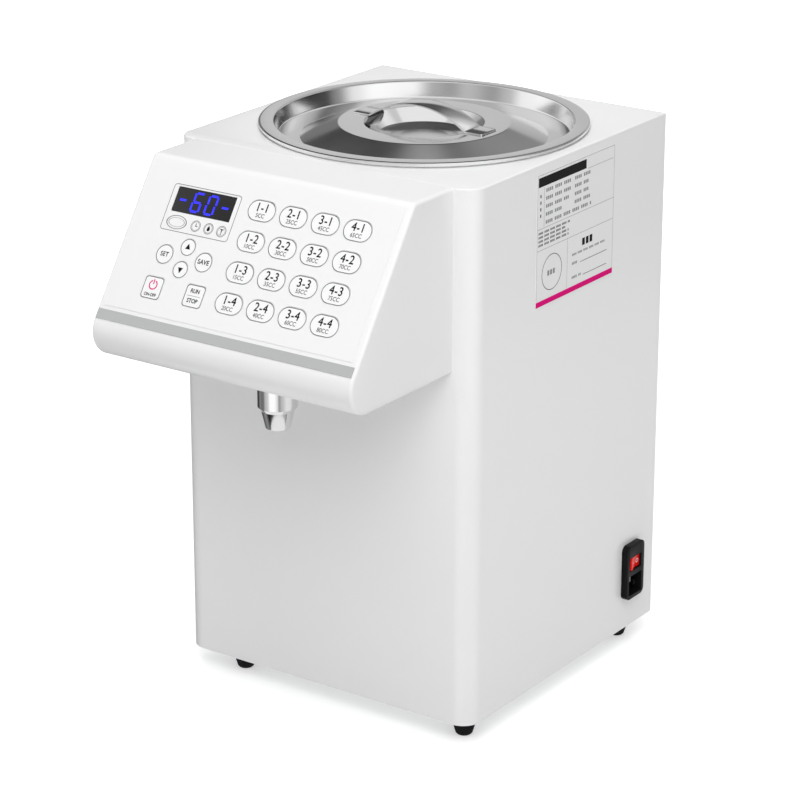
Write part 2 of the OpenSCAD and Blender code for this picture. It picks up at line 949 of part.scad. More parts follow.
module portion_key(col, row) {
    color("whitesmoke")
        key_solid(key_x0 + (col - 1) * key_pitch_x, key_s0 + (row - 1) * key_pitch_y) {
            pill(key_w, key_h);
            pill(key_w + 2 * key_lip, key_h + 2 * key_lip);
        }
}

module round_key(k) {
    color("whitesmoke")
        key_solid(k[1], k[2]) {
            circle(k[3] / 2);
            circle(k[3] / 2 + key_lip);
        }
}

module square_key(k) {
    color("whitesmoke")
        key_solid(k[1], k[2]) {
            round_square(k[3], k[3], square_key_r);
            round_square(k[3] + 2 * key_lip, k[3] + 2 * key_lip, square_key_r + key_lip);
        }
}

// Power board on four posts, with its transformer, capacitors and terminal block
module power_board() {
    w = power[1] - power[0];
    d = power[3] - power[2];
    color("seagreen")
        translate([power[0], power[2], power_z])
            cube([w, d, board_t]);
    color("silver")
        for (x = [power[0] + 5, power[1] - 5], y = [power[2] + 5, power[3] - 5])
            translate([x, y, base_z + sheet_t])
                cylinder(r = post_r, h = power_z - base_z - sheet_t);
    color("goldenrod")
        translate([power[0] + 12, power[2] + 40, power_z + board_t])
            cube(transformer);
    color("navy")
        for (y = [20, 38])
            translate([power[1] - 14, power[2] + y, power_z + board_t])
                cylinder(r = capacitor_r, h = capacitor_h);
    color("green")
        for (y = [2, d - terminal[1] - 2])
            translate([power[0] + 22, power[2] + y, power_z + board_t])
                cube(terminal);
}

// Mains inlet and switch housing, with a raised bezel on the cabinet's right side
module inlet_module() {
    mid_z = (inlet_low + inlet_high) / 2;
    h = inlet_high - inlet_low;
    body_w_in = inlet_w - 2 * inlet_body_in;
    color("black")
        difference() {
            union() {
                translate([side_x, inlet_y, mid_z])
                    rotate([90, 0, 90])
                        linear_extrude(inlet_out)
                            round_square(inlet_w, h, inlet_r);
                translate([side_x - inlet_deep, inlet_y - body_w_in / 2, inlet_low + inlet_body_in])
                    cube([inlet_deep + 1, body_w_in, h - 2 * inlet_body_in]);
            }
            translate([side_x + inlet_out - socket_deep, inlet_y - socket_w / 2, socket_z - socket_h / 2])
                cube([socket_deep + 1, socket_w, socket_h]);
            translate([side_x + inlet_out - rocker_bay_deep, inlet_y - rocker_bay_w, rocker_z - rocker_bay_h])
                cube([rocker_bay_deep + 1, 2 * rocker_bay_w, 2 * rocker_bay_h]);
            translate([rocker_pivot_x, inlet_y, rocker_z - rocker_pin_l - 2 * hole_fit])
                cylinder(r = rocker_pin_r + shaft_fit, h = 2 * rocker_pin_l + 4 * hole_fit);
            pin_bars();
        }
}

// Rocker with a two-sided face, resting with its rear side pressed
module power_rocker() {
    color("red")
        translate([rocker_pivot_x, inlet_y, rocker_z])
            rotate([0, 0, rocker_tilt]) {
                translate([0, 0, -rocker_half_h])
                    linear_extrude(2 * rocker_half_h)
                        polygon([[-rocker_heel[0], -rocker_heel[1]], [rocker_shoulder, -rocker_half_w],
                                 [rocker_face, -rocker_half_w], [rocker_face - rocker_dip, 0],
                                 [rocker_face, rocker_half_w], [rocker_shoulder, rocker_half_w],
                                 [-rocker_heel[0], rocker_heel[1]]]);
                translate([0, 0, -rocker_pin_l])
                    cylinder(r = rocker_pin_r, h = 2 * rocker_pin_l);
            }
}

// Three flat bars that stand back from the socket's mouth and end behind the housing
module pin_bars() {
    low = side_x - inlet_deep - pin_tail;
    for (p = pin_spots)
        translate([low, inlet_y + p[0] - pin_w / 2, socket_z + p[1] - pin_h / 2])
            cube([side_x + inlet_out - pin_short - low, pin_w, pin_h]);
}

module inlet_pins() {
    color("silver")
        pin_bars();
}

module wiring_loom() {
    color("black")
        tube(mains_path, loom_r, 8, [0.1, 0.2, 1]);
    color("black")
        tube(head_path, head_loom_r, 8, [1, 0, -0.5]);
}

module rating_label() {
    color("white")
        translate([side_x, label_low_y, label_low_z])
            cube([label_t, label_high_y - label_low_y, label_high_z - label_low_z]);
}

body_wrap();
top_cover();
back_panel();
base_pan();
rubber_feet();
foot_screws();
back_screws();
tank();
tank_gasket();
tank_outlet();
outlet_nut();
lid_pan();
lid_handle();
suction_hose();
pump_body();
pump_cover();
drive_gear();
idler_gear();
pump_motor();
motor_bracket();
delivery_hose();
nozzle();
nozzle_nut();
head_shell();
head_screws();
keypad_overlay();
display_window();
display_module();
switch_board();
board_posts();
trim_strip();
power_board();
inlet_module();
power_rocker();
inlet_pins();
wiring_loom();
rating_label();
for (row = [1:4], col = [1:4])
    portion_key(col, row);
for (k = round_keys)
    round_key(k);
for (k = square_keys)
    square_key(k);
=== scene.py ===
import json
import math

import bmesh
import bpy
from mathutils import Matrix, Quaternion, Vector


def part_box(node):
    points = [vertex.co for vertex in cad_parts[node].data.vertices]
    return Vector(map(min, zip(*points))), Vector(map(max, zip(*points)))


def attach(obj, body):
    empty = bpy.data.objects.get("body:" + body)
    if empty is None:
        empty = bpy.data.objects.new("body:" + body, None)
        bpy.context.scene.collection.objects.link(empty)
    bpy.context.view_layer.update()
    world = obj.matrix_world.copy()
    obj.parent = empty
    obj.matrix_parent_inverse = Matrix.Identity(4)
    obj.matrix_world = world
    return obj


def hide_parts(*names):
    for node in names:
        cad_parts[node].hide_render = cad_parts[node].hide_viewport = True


# A countertop syrup dispenser: a white painted cabinet with a keypad head, a turned nozzle,
# and a pressed stainless lid over its tank. Metres, +Z up, the keypad faces -Y.

MM = 0.001

# ---------------------------------------------------------------- sizes

SHEET = 1.2 * MM
CORNER_RADIUS = 15.8 * MM
TOP_BEND = 1.3 * MM
HEAD_FLAT = 47.7 * MM
PANEL_SLOPE = math.radians(55.8)
NOSE_RADIUS = 20.6 * MM
HEAD_EDGE = 3.0 * MM
TANK_HOLE = 118.5 * MM
# Heights of the faces above the panel, and of the print above a face
OVERLAY_TOP = 0.4 * MM
WINDOW_TOP = 0.5 * MM
KEY_TOP = 0.65 * MM
INK = 0.04 * MM

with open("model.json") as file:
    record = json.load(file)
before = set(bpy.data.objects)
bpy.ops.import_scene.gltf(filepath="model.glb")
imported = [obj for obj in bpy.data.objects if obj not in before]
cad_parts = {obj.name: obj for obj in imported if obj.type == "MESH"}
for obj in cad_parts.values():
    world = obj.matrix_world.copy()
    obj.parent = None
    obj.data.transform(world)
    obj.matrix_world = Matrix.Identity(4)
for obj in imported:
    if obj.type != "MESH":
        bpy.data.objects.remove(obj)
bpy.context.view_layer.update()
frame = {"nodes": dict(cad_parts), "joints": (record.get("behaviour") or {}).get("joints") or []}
nodes = frame["nodes"]
scene = bpy.context.scene


def box_middle(name):
    low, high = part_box(name)
    return (low + high) / 2


wrap_low, wrap_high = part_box("body_wrap")
head_low, head_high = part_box("head_shell")
TOP = head_high.z
FRONT = wrap_low.y
PANEL_EDGE = FRONT - HEAD_FLAT
PANEL = Matrix.Translation((0, PANEL_EDGE, TOP)) @ Matrix.Rotation(PANEL_SLOPE, 4, "X")
TANK_AXIS = box_middle("tank")


# ---------------------------------------------------------------- modelling helpers

def clear_selection():
    """Leaves edit mode with nothing selected."""
    if bpy.context.mode != "OBJECT":
        bpy.ops.object.mode_set(mode="OBJECT")
    bpy.ops.object.select_all(action="DESELECT")


def activate(piece):
    clear_selection()
    piece.select_set(True)
    bpy.context.view_layer.objects.active = piece


def settle(piece, place=None):
    """Puts a piece in its place and moves that place into its mesh."""
    activate(piece)
    if place is not None:
        piece.matrix_world = place
    bpy.ops.object.transform_apply(location=True, rotation=True, scale=True)
    return piece


def named(piece, name):
    piece.name = name
    piece.data.name = name


def primitive(name, add, **settings):
    """Adds a primitive at its size and place, with its object at the origin."""
    clear_selection()
    add(**settings)
    piece = bpy.context.object
    named(piece, name)
    return settle(piece)


def block(name, low, high):
    """A box between two corners, to be shaped further."""
    low, high = Vector(low), Vector(high)
    piece = primitive(name, bpy.ops.mesh.primitive_cube_add, size=1)
    return settle(piece, Matrix.Translation((low + high) / 2) @ Matrix.Diagonal((*(high - low), 1)))


def flat_sheet(name, place, width, height):
    """A flat rectangle with its middle at a place."""
    piece = primitive(name, bpy.ops.mesh.primitive_plane_add, size=1)
    return settle(piece, place @ Matrix.Diagonal((width, height, 1, 1)))


def edit(piece):
    """Starts edit mode with everything selected."""
    activate(piece)
    bpy.ops.object.mode_set(mode="EDIT")
    bpy.ops.mesh.select_all(action="SELECT")


def pick(piece, kind, test):
    """Selects the vertices, edges or faces of the piece that pass a test, in edit mode."""
    bpy.ops.mesh.select_mode(type=kind)
    bpy.ops.mesh.select_all(action="DESELECT")
    mesh = bmesh.from_edit_mesh(piece.data)
    for item in {"VERT": mesh.verts, "EDGE": mesh.edges, "FACE": mesh.faces}[kind]:
        if test(item):
            item.select_set(True)
    bmesh.update_edit_mesh(piece.data)


def near(a, b):
    return abs(a - b) < 0.01 * MM


def middle(edge):
    return (edge.verts[0].co + edge.verts[1].co) / 2


def along(edge, axis):
    """Whether an edge runs along an axis: 0 for x, 1 for y, 2 for z."""
    return abs((edge.verts[1].co - edge.verts[0].co).normalized()[axis]) > 0.9


def draw_out(x=0, y=0, z=0):
    """Extrudes the picked edges by an offset."""
    bpy.ops.mesh.extrude_edges_move(TRANSFORM_OT_translate={"value": (x, y, z)})


def bevel_picked(offset, segments):
    bpy.ops.mesh.bevel(offset=offset, segments=segments, profile=0.5, affect="EDGES")


def modify(piece, kind, **settings):
    """Adds one modifier and applies it."""
    activate(piece)
    modifier = piece.modifiers.new(kind.lower(), kind)
    for name, value in settings.items():
        setattr(modifier, name, value)
    bpy.ops.object.modifier_apply(modifier=modifier.name)


def round_edges(piece, width, segments=3, angle=30):
    modify(piece, "BEVEL", width=width, segments=segments, limit_method="ANGLE",
           angle_limit=math.radians(angle), harden_normals=False)


def cut(piece, *tools):
    """Takes each tool's shape out of the piece."""
    for tool in tools:
        modify(piece, "BOOLEAN", operation="DIFFERENCE", solver="EXACT", object=tool)
        bpy.data.objects.remove(tool)


def smooth(piece, angle):
    activate(piece)
    bpy.ops.object.shade_smooth_by_angle(angle=math.radians(angle))


def face_outwards(piece):
    edit(piece)
    bpy.ops.mesh.remove_doubles(threshold=1e-6)
    bpy.ops.mesh.normals_make_consistent(inside=False)
    clear_selection()


def copy_of(piece, name, place):
    """A copy with its own mesh, settled in its place."""
    twin = piece.copy()
    twin.data = piece.data.copy()
    named(twin, name)
    scene.collection.objects.link(twin)
    return settle(twin, place)


def join(name, parts):
    activate(parts[0])
    for part in parts:
        part.select_set(True)
    if len(parts) > 1:
        bpy.ops.object.join()
    named(parts[0], name)
    return parts[0]


def turned(name, stations, centre, sides=96):
    """A turned piece: a ring is extruded and scaled through its stations of radius and height."""
    radius, height = stations[0]
    piece = primitive(name, bpy.ops.mesh.primitive_circle_add, vertices=sides, radius=radius,
                      location=(centre[0], centre[1], height))
    edit(piece)
    for next_radius, next_height in stations[1:]:
        draw_out(z=next_height - height)
        grow = next_radius / radius
        bpy.ops.transform.resize(value=(grow, grow, 1),
                                 center_override=(centre[0], centre[1], next_height))
        radius, height = next_radius, next_height
    clear_selection()
    return piece


def close_ring(piece, radius, height, centre):
    """Closes the ring at a station with a fan of faces."""
    edit(piece)
    pick(piece, "EDGE", lambda e: near(middle(e).z, height) and e.is_boundary
         and near((e.verts[0].co.xy - Vector(centre[:2])).length, radius))
    draw_out()
    bpy.ops.mesh.merge(type="CENTER")
    clear_selection()


def carry(piece, body, slot, *stands_for):
    """The piece rides on a body and may stand for CAD nodes, which it hides; its slot is not used."""
    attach(piece, body)
    if stands_for:
        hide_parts(*stands_for)


def give(piece, *materials):
    piece.data.materials.clear()
    for material in materials:
        piece.data.materials.append(material)
    return piece


def dress(piece, angle, material, body, slot, *stands_for):
    """Smooths a piece up to an angle, gives it its material and puts it on its body."""
    smooth(piece, angle)
    give(piece, material)
    carry(piece, body, slot, *stands_for)


# ---------------------------------------------------------------- shared effects

def link(tree, source, target):
    tree.links.new(source, target)


def fill(tree, node, **sources):
    """Gives a node's inputs a value or another node's output; _ stands for a space in their names."""
    for label, source in sources.items():
        feed(tree, node.inputs[label.replace("_", " ")], source)


def feed(tree, socket, source):
    if isinstance(source, bpy.types.NodeSocket):
        link(tree, source, socket)
    else:
        socket.default_value = source


def add_node(tree, kind, operation=None, **sources):
    node = tree.nodes.new("ShaderNode" + kind)
    if operation:
        node.operation = operation
    fill(tree, node, **sources)
    return node


def maths(tree, operation, *terms, kind="Math"):
    """The result of one operation, whose terms are values or outputs."""
    node = add_node(tree, kind, operation)
    for socket, term in zip(node.inputs, terms):
        feed(tree, socket, term)
    return node.outputs[0]


def place_group(tree, group, **sources):
    """Puts a node group in a tree and gives its outputs."""
    node = tree.nodes.new("ShaderNodeGroup")
    node.node_tree = group
    fill(tree, node, **sources)
    return node.outputs


def object_place(tree):
    return add_node(tree, "TexCoord").outputs["Object"]


def node_group(name, inputs, outputs):
    """A new group, with the outputs that bring its inputs and the node that takes its results."""
    group = bpy.data.node_groups.new(name, "ShaderNodeTree")
    for label, kind, value in inputs:
        socket = group.interface.new_socket(label, in_out="INPUT", socket_type="NodeSocket" + kind)
        socket.default_value = value
    for label, kind in outputs:
        group.interface.new_socket(label, in_out="OUTPUT", socket_type="NodeSocket" + kind)
    start = group.nodes.new("NodeGroupInput")
    end = group.nodes.new("NodeGroupOutput")
    return group, start.outputs, end


def make_tone_drift():
    """A colour and a roughness that drift a little over the surface."""
    group, start, end = node_group(
        "tone_drift",
        [("Colour", "Color", (0.8, 0.8, 0.8, 1)), ("Scale", "Float", 12.0), ("Colour drift", "Float", 0.03),
         ("Roughness low", "Float", 0.3), ("Roughness high", "Float", 0.4)],
        [("Colour", "Color"), ("Roughness", "Float")])
    noise = add_node(group, "TexNoise", Vector=object_place(group), Scale=start["Scale"], Detail=3.0)
    centred = maths(group, "SUBTRACT", noise.outputs["Fac"], 0.5)
    level = maths(group, "ADD", maths(group, "MULTIPLY", centred, start["Colour drift"]), 1.0)
    tint = add_node(group, "VectorMath", "SCALE", Vector=start["Colour"], Scale=level)
    rough = add_node(group, "MapRange", Value=noise.outputs["Fac"], From_Min=0.3, From_Max=0.7,
                     To_Min=start["Roughness low"], To_Max=start["Roughness high"])
    fill(group, end, Colour=tint.outputs["Vector"], Roughness=rough.outputs["Result"])
    return group


def bump_normal(group, start, noise):
    """The normal that a noise gives, by the group's own strength and depth."""
    bump = add_node(group, "Bump", Strength=start["Strength"], Distance=start["Depth"],
                    Height=noise.outputs["Fac"])
    return bump.outputs["Normal"]


def make_fine_grain():
    """A normal with a fine grain, such as the skin of sprayed paint or moulded plastic."""
    group, start, end = node_group(
        "fine_grain", [("Scale", "Float", 900.0), ("Strength", "Float", 0.1), ("Depth", "Float", 0.0001)],
        [("Normal", "Vector")])
    noise = add_node(group, "TexNoise", Vector=object_place(group), Scale=start["Scale"], Detail=2.0)
    fill(group, end, Normal=bump_normal(group, start, noise))
    return group


def make_drawn_lines():
    """Fine lines that a brush leaves along one direction: stretch them by a scale on each axis."""
    group, start, end = node_group(
        "drawn_lines",
        [("Place", "Vector", (0, 0, 0)), ("Stretch", "Vector", (40, 40, 4000)), ("Strength", "Float", 0.1),
         ("Depth", "Float", 0.00005)],
        [("Normal", "Vector")])
    stretched = maths(group, "MULTIPLY", start["Place"], start["Stretch"], kind="VectorMath")
    noise = add_node(group, "TexNoise", Vector=stretched, Scale=1.0, Detail=4.0)
    fill(group, end, Normal=bump_normal(group, start, noise))
    return group


def make_round_place():
    """A place as angle, radius and height about an upright axis, for marks left by turning."""
    group, start, end = node_group(
        "round_place", [("Centre", "Vector", (0, 0, 0))],
        [("Place", "Vector"), ("Radius", "Float"), ("Angle", "Float")])
    offset = maths(group, "SUBTRACT", object_place(group), start["Centre"], kind="VectorMath")
    parts = add_node(group, "SeparateXYZ", Vector=offset)
    angle = maths(group, "ARCTAN2", parts.outputs["Y"], parts.outputs["X"])
    level = maths(group, "MULTIPLY", offset, (1, 1, 0), kind="VectorMath")
    radius = add_node(group, "VectorMath", "LENGTH", Vector=level)
    whole = add_node(group, "CombineXYZ", X=angle, Y=radius.outputs["Value"], Z=parts.outputs["Z"])
    fill(group, end, Place=whole.outputs["Vector"], Radius=radius.outputs["Value"], Angle=angle)
    return group


TONE_DRIFT = make_tone_drift()
FINE_GRAIN = make_fine_grain()
DRAWN_LINES = make_drawn_lines()
ROUND_PLACE = make_round_place()


def new_material(name):
    """A material with its tree and its shader."""
    material = bpy.data.materials.new(name)
    material.use_nodes = True
    tree = material.node_tree
    return material, tree, tree.nodes["Principled BSDF"]


def toned(name, colour, roughness, drift, scale, metallic=0.0, specular=0.5, coat=0.0,
          coat_roughness=0.05):
    """A material whose colour and roughness drift a little."""
    material, tree, shader = new_material(name)
    low, high = roughness
    tone = place_group(tree, TONE_DRIFT, Colour=(*colour, 1), Scale=scale, Colour_drift=drift,
                       Roughness_low=low, Roughness_high=high)
    fill(tree, shader, Base_Color=tone["Colour"], Roughness=tone["Roughness"], Metallic=metallic,
         Specular_IOR_Level=specular, Coat_Weight=coat, Coat_Roughness=coat_roughness)
    return material, tree, shader


def coated(name, colour, roughness, drift=0.05, drift_scale=9.0, grain=900.0, strength=0.05,
           depth=0.00005, **shader_values):
    """Paint, ink, rubber or moulded plastic: a drifting tone and a fine grain."""
    material, tree, shader = toned(name, colour, roughness, drift, drift_scale, **shader_values)
    skin = place_group(tree, FINE_GRAIN, Scale=grain, Strength=strength, Depth=depth)
    fill(tree, shader, Normal=skin["Normal"])
    return material


def brushed(name, colour, roughness, stretch=(4000, 40, 40), strength=0.06, drift=0.05):
    """Metal with lines drawn along one axis."""
    material, tree, shader = toned(name, colour, roughness, drift, 20.0, metallic=1.0)
    lines = place_group(tree, DRAWN_LINES, Place=object_place(tree), Stretch=stretch, Strength=strength)
    fill(tree, shader, Normal=lines["Normal"])
    return material


def spun(name, colour, roughness, centre):
    """Polished metal with rings left by spinning it about an upright axis."""
    material, tree, shader = toned(name, colour, roughness, 0.04, 14.0, metallic=1.0)
    where = place_group(tree, ROUND_PLACE, Centre=centre)
    rings = place_group(tree, DRAWN_LINES, Place=where["Place"], Stretch=(1.5, 2500, 2500), Strength=0.03)
    fill(tree, shader, Normal=rings["Normal"])
    return material


def glowing(name, colour, strength):
    """Lit segments, of a tone that drifts within them."""
    material, tree, shader = toned(name, colour, (0.2, 0.3), 0.15, 200.0, specular=0.3)
    tone = shader.inputs["Base Color"].links[0].from_socket
    fill(tree, shader, Emission_Color=tone, Emission_Strength=strength)
    return material


# ---------------------------------------------------------------- finishes

NOZZLE_AXIS = box_middle("nozzle")

white_paint = coated("white_paint", (0.86, 0.86, 0.862), (0.31, 0.36), drift=0.01, grain=700.0,
                     strength=0.06, depth=0.00008, coat=0.25, coat_roughness=0.12)
overlay_white = coated("overlay_white", (0.85, 0.85, 0.853), (0.32, 0.38), drift=0.01, grain=1500.0,
                       strength=0.05)
key_white = coated("key_white", (0.89, 0.89, 0.892), (0.30, 0.35), drift=0.01, grain=1500.0,
                   strength=0.04)
outline_ink = coated("outline_ink", (0.12, 0.12, 0.125), (0.4, 0.5), specular=0.05)
dark_ink = coated("dark_ink", (0.018, 0.018, 0.019), (0.4, 0.5), specular=0.02)
pale_ink = coated("pale_ink", (0.28, 0.28, 0.29), (0.4, 0.5), specular=0.05)
magenta_ink = coated("magenta_ink", (0.72, 0.002, 0.19), (0.35, 0.45), drift=0.04, specular=0.03)
white_ink = coated("white_ink", (0.80, 0.78, 0.78), (0.4, 0.5), drift=0.04)
window_black = coated("window_black", (0.016, 0.016, 0.017), (0.14, 0.2), drift=0.08, strength=0.02,
                      specular=0.3)
strip_silver = coated("strip_silver", (0.48, 0.49, 0.49), (0.34, 0.42), drift=0.03, grain=2200.0,
                      metallic=0.25)
label_white = coated("label_white", (0.84, 0.84, 0.842), (0.38, 0.46), drift=0.015, grain=1200.0)
rubber_black = coated("rubber_black", (0.008, 0.008, 0.009), (0.5, 0.65), drift=0.2, grain=1800.0,
                      strength=0.2, specular=0.08)
black_plastic = coated("black_plastic", (0.005, 0.005, 0.0055), (0.29, 0.38), drift=0.15, grain=1600.0,
                       strength=0.1, specular=0.1)
red_plastic = coated("red_plastic", (0.9, 0.008, 0.006), (0.16, 0.24), specular=0.3)
silicone_white = coated("silicone_white", (0.76, 0.76, 0.755), (0.5, 0.6), drift=0.03)
silicone_clear = coated("silicone_clear", (0.74, 0.73, 0.68), (0.3, 0.4))
pump_plastic = coated("pump_plastic", (0.06, 0.075, 0.09), (0.4, 0.5), drift=0.12, strength=0.2)
motor_paint = coated("motor_paint", (0.03, 0.033, 0.036), (0.3, 0.42), drift=0.12, strength=0.12)
circuit_green = coated("circuit_green", (0.012, 0.12, 0.05), (0.3, 0.4), drift=0.18, drift_scale=60.0)
cable_black = coated("cable_black", (0.016, 0.016, 0.017), (0.4, 0.5), drift=0.15)
display_blue = coated("display_blue", (0.012, 0.013, 0.03), (0.2, 0.26), drift=0.1)
galvanised = brushed("galvanised", (0.60, 0.62, 0.63), (0.32, 0.5), stretch=(60, 60, 60),
                     strength=0.12, drift=0.22)
screw_steel = brushed("screw_steel", (0.66, 0.66, 0.67), (0.18, 0.26), stretch=(900, 900, 900))
pin_metal = brushed("pin_metal", (0.24, 0.235, 0.22), (0.29, 0.36))
gear_steel = brushed("gear_steel", (0.52, 0.52, 0.53), (0.29, 0.36))
brass = brushed("brass", (0.72, 0.53, 0.24), (0.19, 0.26), stretch=(500, 500, 2500))
pump_cover_steel = brushed("pump_cover_steel", (0.60, 0.60, 0.61), (0.29, 0.38))
polished_steel = spun("polished_steel", (0.78, 0.78, 0.785), (0.10, 0.16), TANK_AXIS)
strap_steel = brushed("strap_steel", (0.80, 0.80, 0.805), (0.10, 0.16), stretch=(30, 2500, 2500),
                      strength=0.03)
nozzle_steel = spun("nozzle_steel", (0.76, 0.76, 0.765), (0.08, 0.14), NOZZLE_AXIS)
lit_blue = glowing("lit_blue", (0.024, 0.024, 1.0), 0.95)


# ---------------------------------------------------------------- cabinet and head

def make_cabinet_skin():
    """The bent sheet of the front, sides and top, with rounded upright corners."""
    skin = block("cabinet_skin", (wrap_low.x, wrap_low.y, wrap_low.z), (wrap_high.x, wrap_high.y, TOP))
    edit(skin)
    pick(skin, "EDGE", lambda e: along(e, 2) and middle(e).y < 0)
    bevel_picked(CORNER_RADIUS, 16)
    pick(skin, "FACE", lambda f: f.normal.z < -0.9 or f.normal.y > 0.9)
    bpy.ops.mesh.delete(type="FACE")
    pick(skin, "EDGE", lambda e: near(middle(e).z, TOP) and len(e.link_faces) == 2)
    bevel_picked(TOP_BEND, 3)
    clear_selection()
    modify(skin, "SOLIDIFY", thickness=SHEET, offset=-1.0, use_even_offset=True)
    hole = primitive("tank_hole", bpy.ops.mesh.primitive_cylinder_add, vertices=128,
                     radius=TANK_HOLE, depth=20 * MM, location=(0, TANK_AXIS.y, TOP))
    inlet_low, inlet_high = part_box("inlet_module")
    margin = Vector((0, 2 * MM, 2 * MM))
    inlet_low.x = wrap_high.x - 3 * MM
    inlet_high.x = wrap_high.x + 3 * MM
    opening = block("inlet_hole", inlet_low + margin, inlet_high - margin)
    cut(skin, hole, opening)
    dress(skin, 30, white_paint, "cabinet", "white_paint", "body_wrap", "top_cover")


def key_places():
    """Each key's name and the middle of its face on the panel."""
    found = {}
    for name in nodes:
        if name.startswith("key_"):
            centre = PANEL.inverted() @ box_middle(name)
            found[name] = Vector((centre.x, centre.y, 0))
    return found


def make_head_skin():
    """The overhanging head: its floor is spun round the nose, then drawn up the panel and back."""
    nose_y = head_low.y + NOSE_RADIUS
    nose_z = head_low.z + NOSE_RADIUS
    half = head_high.x
    floor_middle = Matrix.Translation((0, (FRONT + nose_y) / 2, head_low.z))
    skin = flat_sheet("head_skin", floor_middle, 2 * half, FRONT - nose_y)
    edit(skin)
    pick(skin, "EDGE", lambda e: near(middle(e).y, nose_y) and along(e, 0))
    bpy.ops.mesh.spin(steps=24, angle=math.pi - PANEL_SLOPE, center=(0, nose_y, nose_z),
                      axis=(1, 0, 0))
    lip = Vector((0, nose_y - NOSE_RADIUS * math.sin(PANEL_SLOPE),
                  nose_z + NOSE_RADIUS * math.cos(PANEL_SLOPE)))
    pick(skin, "EDGE", lambda e: near((middle(e) - lip).length, 0))
    draw_out(y=PANEL_EDGE - lip.y, z=TOP - lip.z)
    draw_out(y=HEAD_FLAT)
    for side in (-half, half):
        pick(skin, "EDGE", lambda e: near(middle(e).x, side))
        bpy.ops.mesh.edge_face_add()
    clear_selection()
    face_outwards(skin)
    edit(skin)
    pick(skin, "EDGE", lambda e: near((middle(e) - Vector((0, PANEL_EDGE, TOP))).length, 0))
    bevel_picked(3.5 * MM, 6)
    pick(skin, "EDGE", lambda e: near(abs(middle(e).x), half) and len(e.link_faces) == 2)
    bevel_picked(HEAD_EDGE, 6)
    clear_selection()
    modify(skin, "SOLIDIFY", thickness=SHEET, offset=-1.0, use_even_offset=True)
    cut(skin, make_panel_cutter())
    dress(skin, 30, white_paint, "cabinet", "white_paint", "head_shell")


# Two corners of the display's opening on the panel, in millimetres across and up its slope
WINDOW_HOLE = ((-83, -40.8), (-29.5, -21.4))


def make_panel_cutter():
    """Every key's outline and the window's, a little larger, as one solid across the panel."""
    gap, reach = 0.35 * MM, 5 * MM
    cutters = []
    for name, centre in KEY_PLACES.items():
        width, height, radius = KEY_SHAPES[kind_of(name)]
        cutter = rounded_plate("cutter", width + 2 * gap, height + 2 * gap, radius + gap, -reach, reach)
        cutters.append(settle(cutter, PANEL @ Matrix.Translation(centre)))
    low, high = WINDOW_HOLE
    window = block("cutter", (low[0] * MM, low[1] * MM, -reach), (high[0] * MM, high[1] * MM, reach))
    cutters.append(settle(window, PANEL))
    return join("panel_cutter", cutters)


# ---------------------------------------------------------------- keys and print on the panel

KEY_SHAPES = {
    "portion": (24.0 * MM, 15.8 * MM, 7.9 * MM),
    "small": (12.8 * MM, 12.8 * MM, 6.4 * MM),
    "large": (14.8 * MM, 14.8 * MM, 7.4 * MM),
    "square": (16.8 * MM, 16.8 * MM, 2.5 * MM),
}
KEY_KINDS = {"key_up": "small", "key_down": "small", "key_set": "large", "key_save": "large",
             "key_power": "square", "key_stop": "square"}


def kind_of(name):
    return KEY_KINDS.get(name, "portion")


def rounded_plate(name, width, height, radius, low, high, segments=12):
    """A plate with round corners, drawn level round the origin between two heights."""
    plate = block(name, (-width / 2, -height / 2, low), (width / 2, height / 2, high))
    edit(plate)
    pick(plate, "EDGE", lambda e: along(e, 2))
    bevel_picked(radius - 0.005 * MM, segments)
    bpy.ops.mesh.select_all(action="SELECT")
    bpy.ops.mesh.remove_doubles(threshold=0.02 * MM)
    clear_selection()
    return plate


def make_key(name, width, height, radius):
    """A key as it sits in the panel: a crowned face in a printed outline, a lip and a nub."""
    top = OVERLAY_TOP + 0.08 * MM
    key = rounded_plate(name, width, height, radius, -1.5 * MM, top)
    edit(key)
    pick(key, "FACE", lambda f: f.normal.z > 0.9)
    across, down = width, height
    for step, rise in ((0.08, 0.05), (0.5, 0.0), (0.9, 0.06), (1.4, 0.04), (1.8, 0.02)):
        in_across, in_down = across - 2 * step * MM, down - 2 * step * MM
        bpy.ops.mesh.extrude_region_move(TRANSFORM_OT_translate={"value": (0, 0, rise * MM)})
        bpy.ops.transform.resize(value=(in_across / across, in_down / down, 1),
                                 center_override=(0, 0, top))
        across, down = in_across, in_down
    clear_selection()
    lip = rounded_plate("lip", width + 2 * MM, height + 2 * MM, radius + 1 * MM,
                        -2.3 * MM, -1.5 * MM)
    nub = primitive("nub", bpy.ops.mesh.primitive_cylinder_add, vertices=24, radius=2 * MM,
                    depth=3.8 * MM, location=(0, 0, -4.1 * MM))
    round_edges(nub, 0.4 * MM)
    give(key, key_white, outline_ink)
    for face in key.data.polygons:
        flat = face.normal.z > 0.99 and abs(face.center.z - (top + 0.05 * MM)) < 1e-7
        face.material_index = 1 if flat and len(face.vertices) == 4 else 0
    give(lip, key_white)
    give(nub, key_white)
    return join(name, [key, lip, nub])


def on_panel(x, s, lift=0.0):
    """A place on the panel: x across, s down its slope from the top edge."""
    return PANEL @ Matrix.Translation((x * MM, -s * MM, lift))


def make_keys():
    blanks = {kind: make_key(kind + "_blank", *shape) for kind, shape in KEY_SHAPES.items()}
    for name, centre in KEY_PLACES.items():
        key = copy_of(blanks[kind_of(name)], name + "_cap", PANEL @ Matrix.Translation(centre))
        smooth(key, 40)
        carry(key, name, "key_white", name)
    for blank in blanks.values():
        bpy.data.objects.remove(blank)


# The font's size for capitals of height 1, and how narrow the print is
SIZE_BY_LETTER_HEIGHT = 1.38
LETTER_STRETCH = 0.9


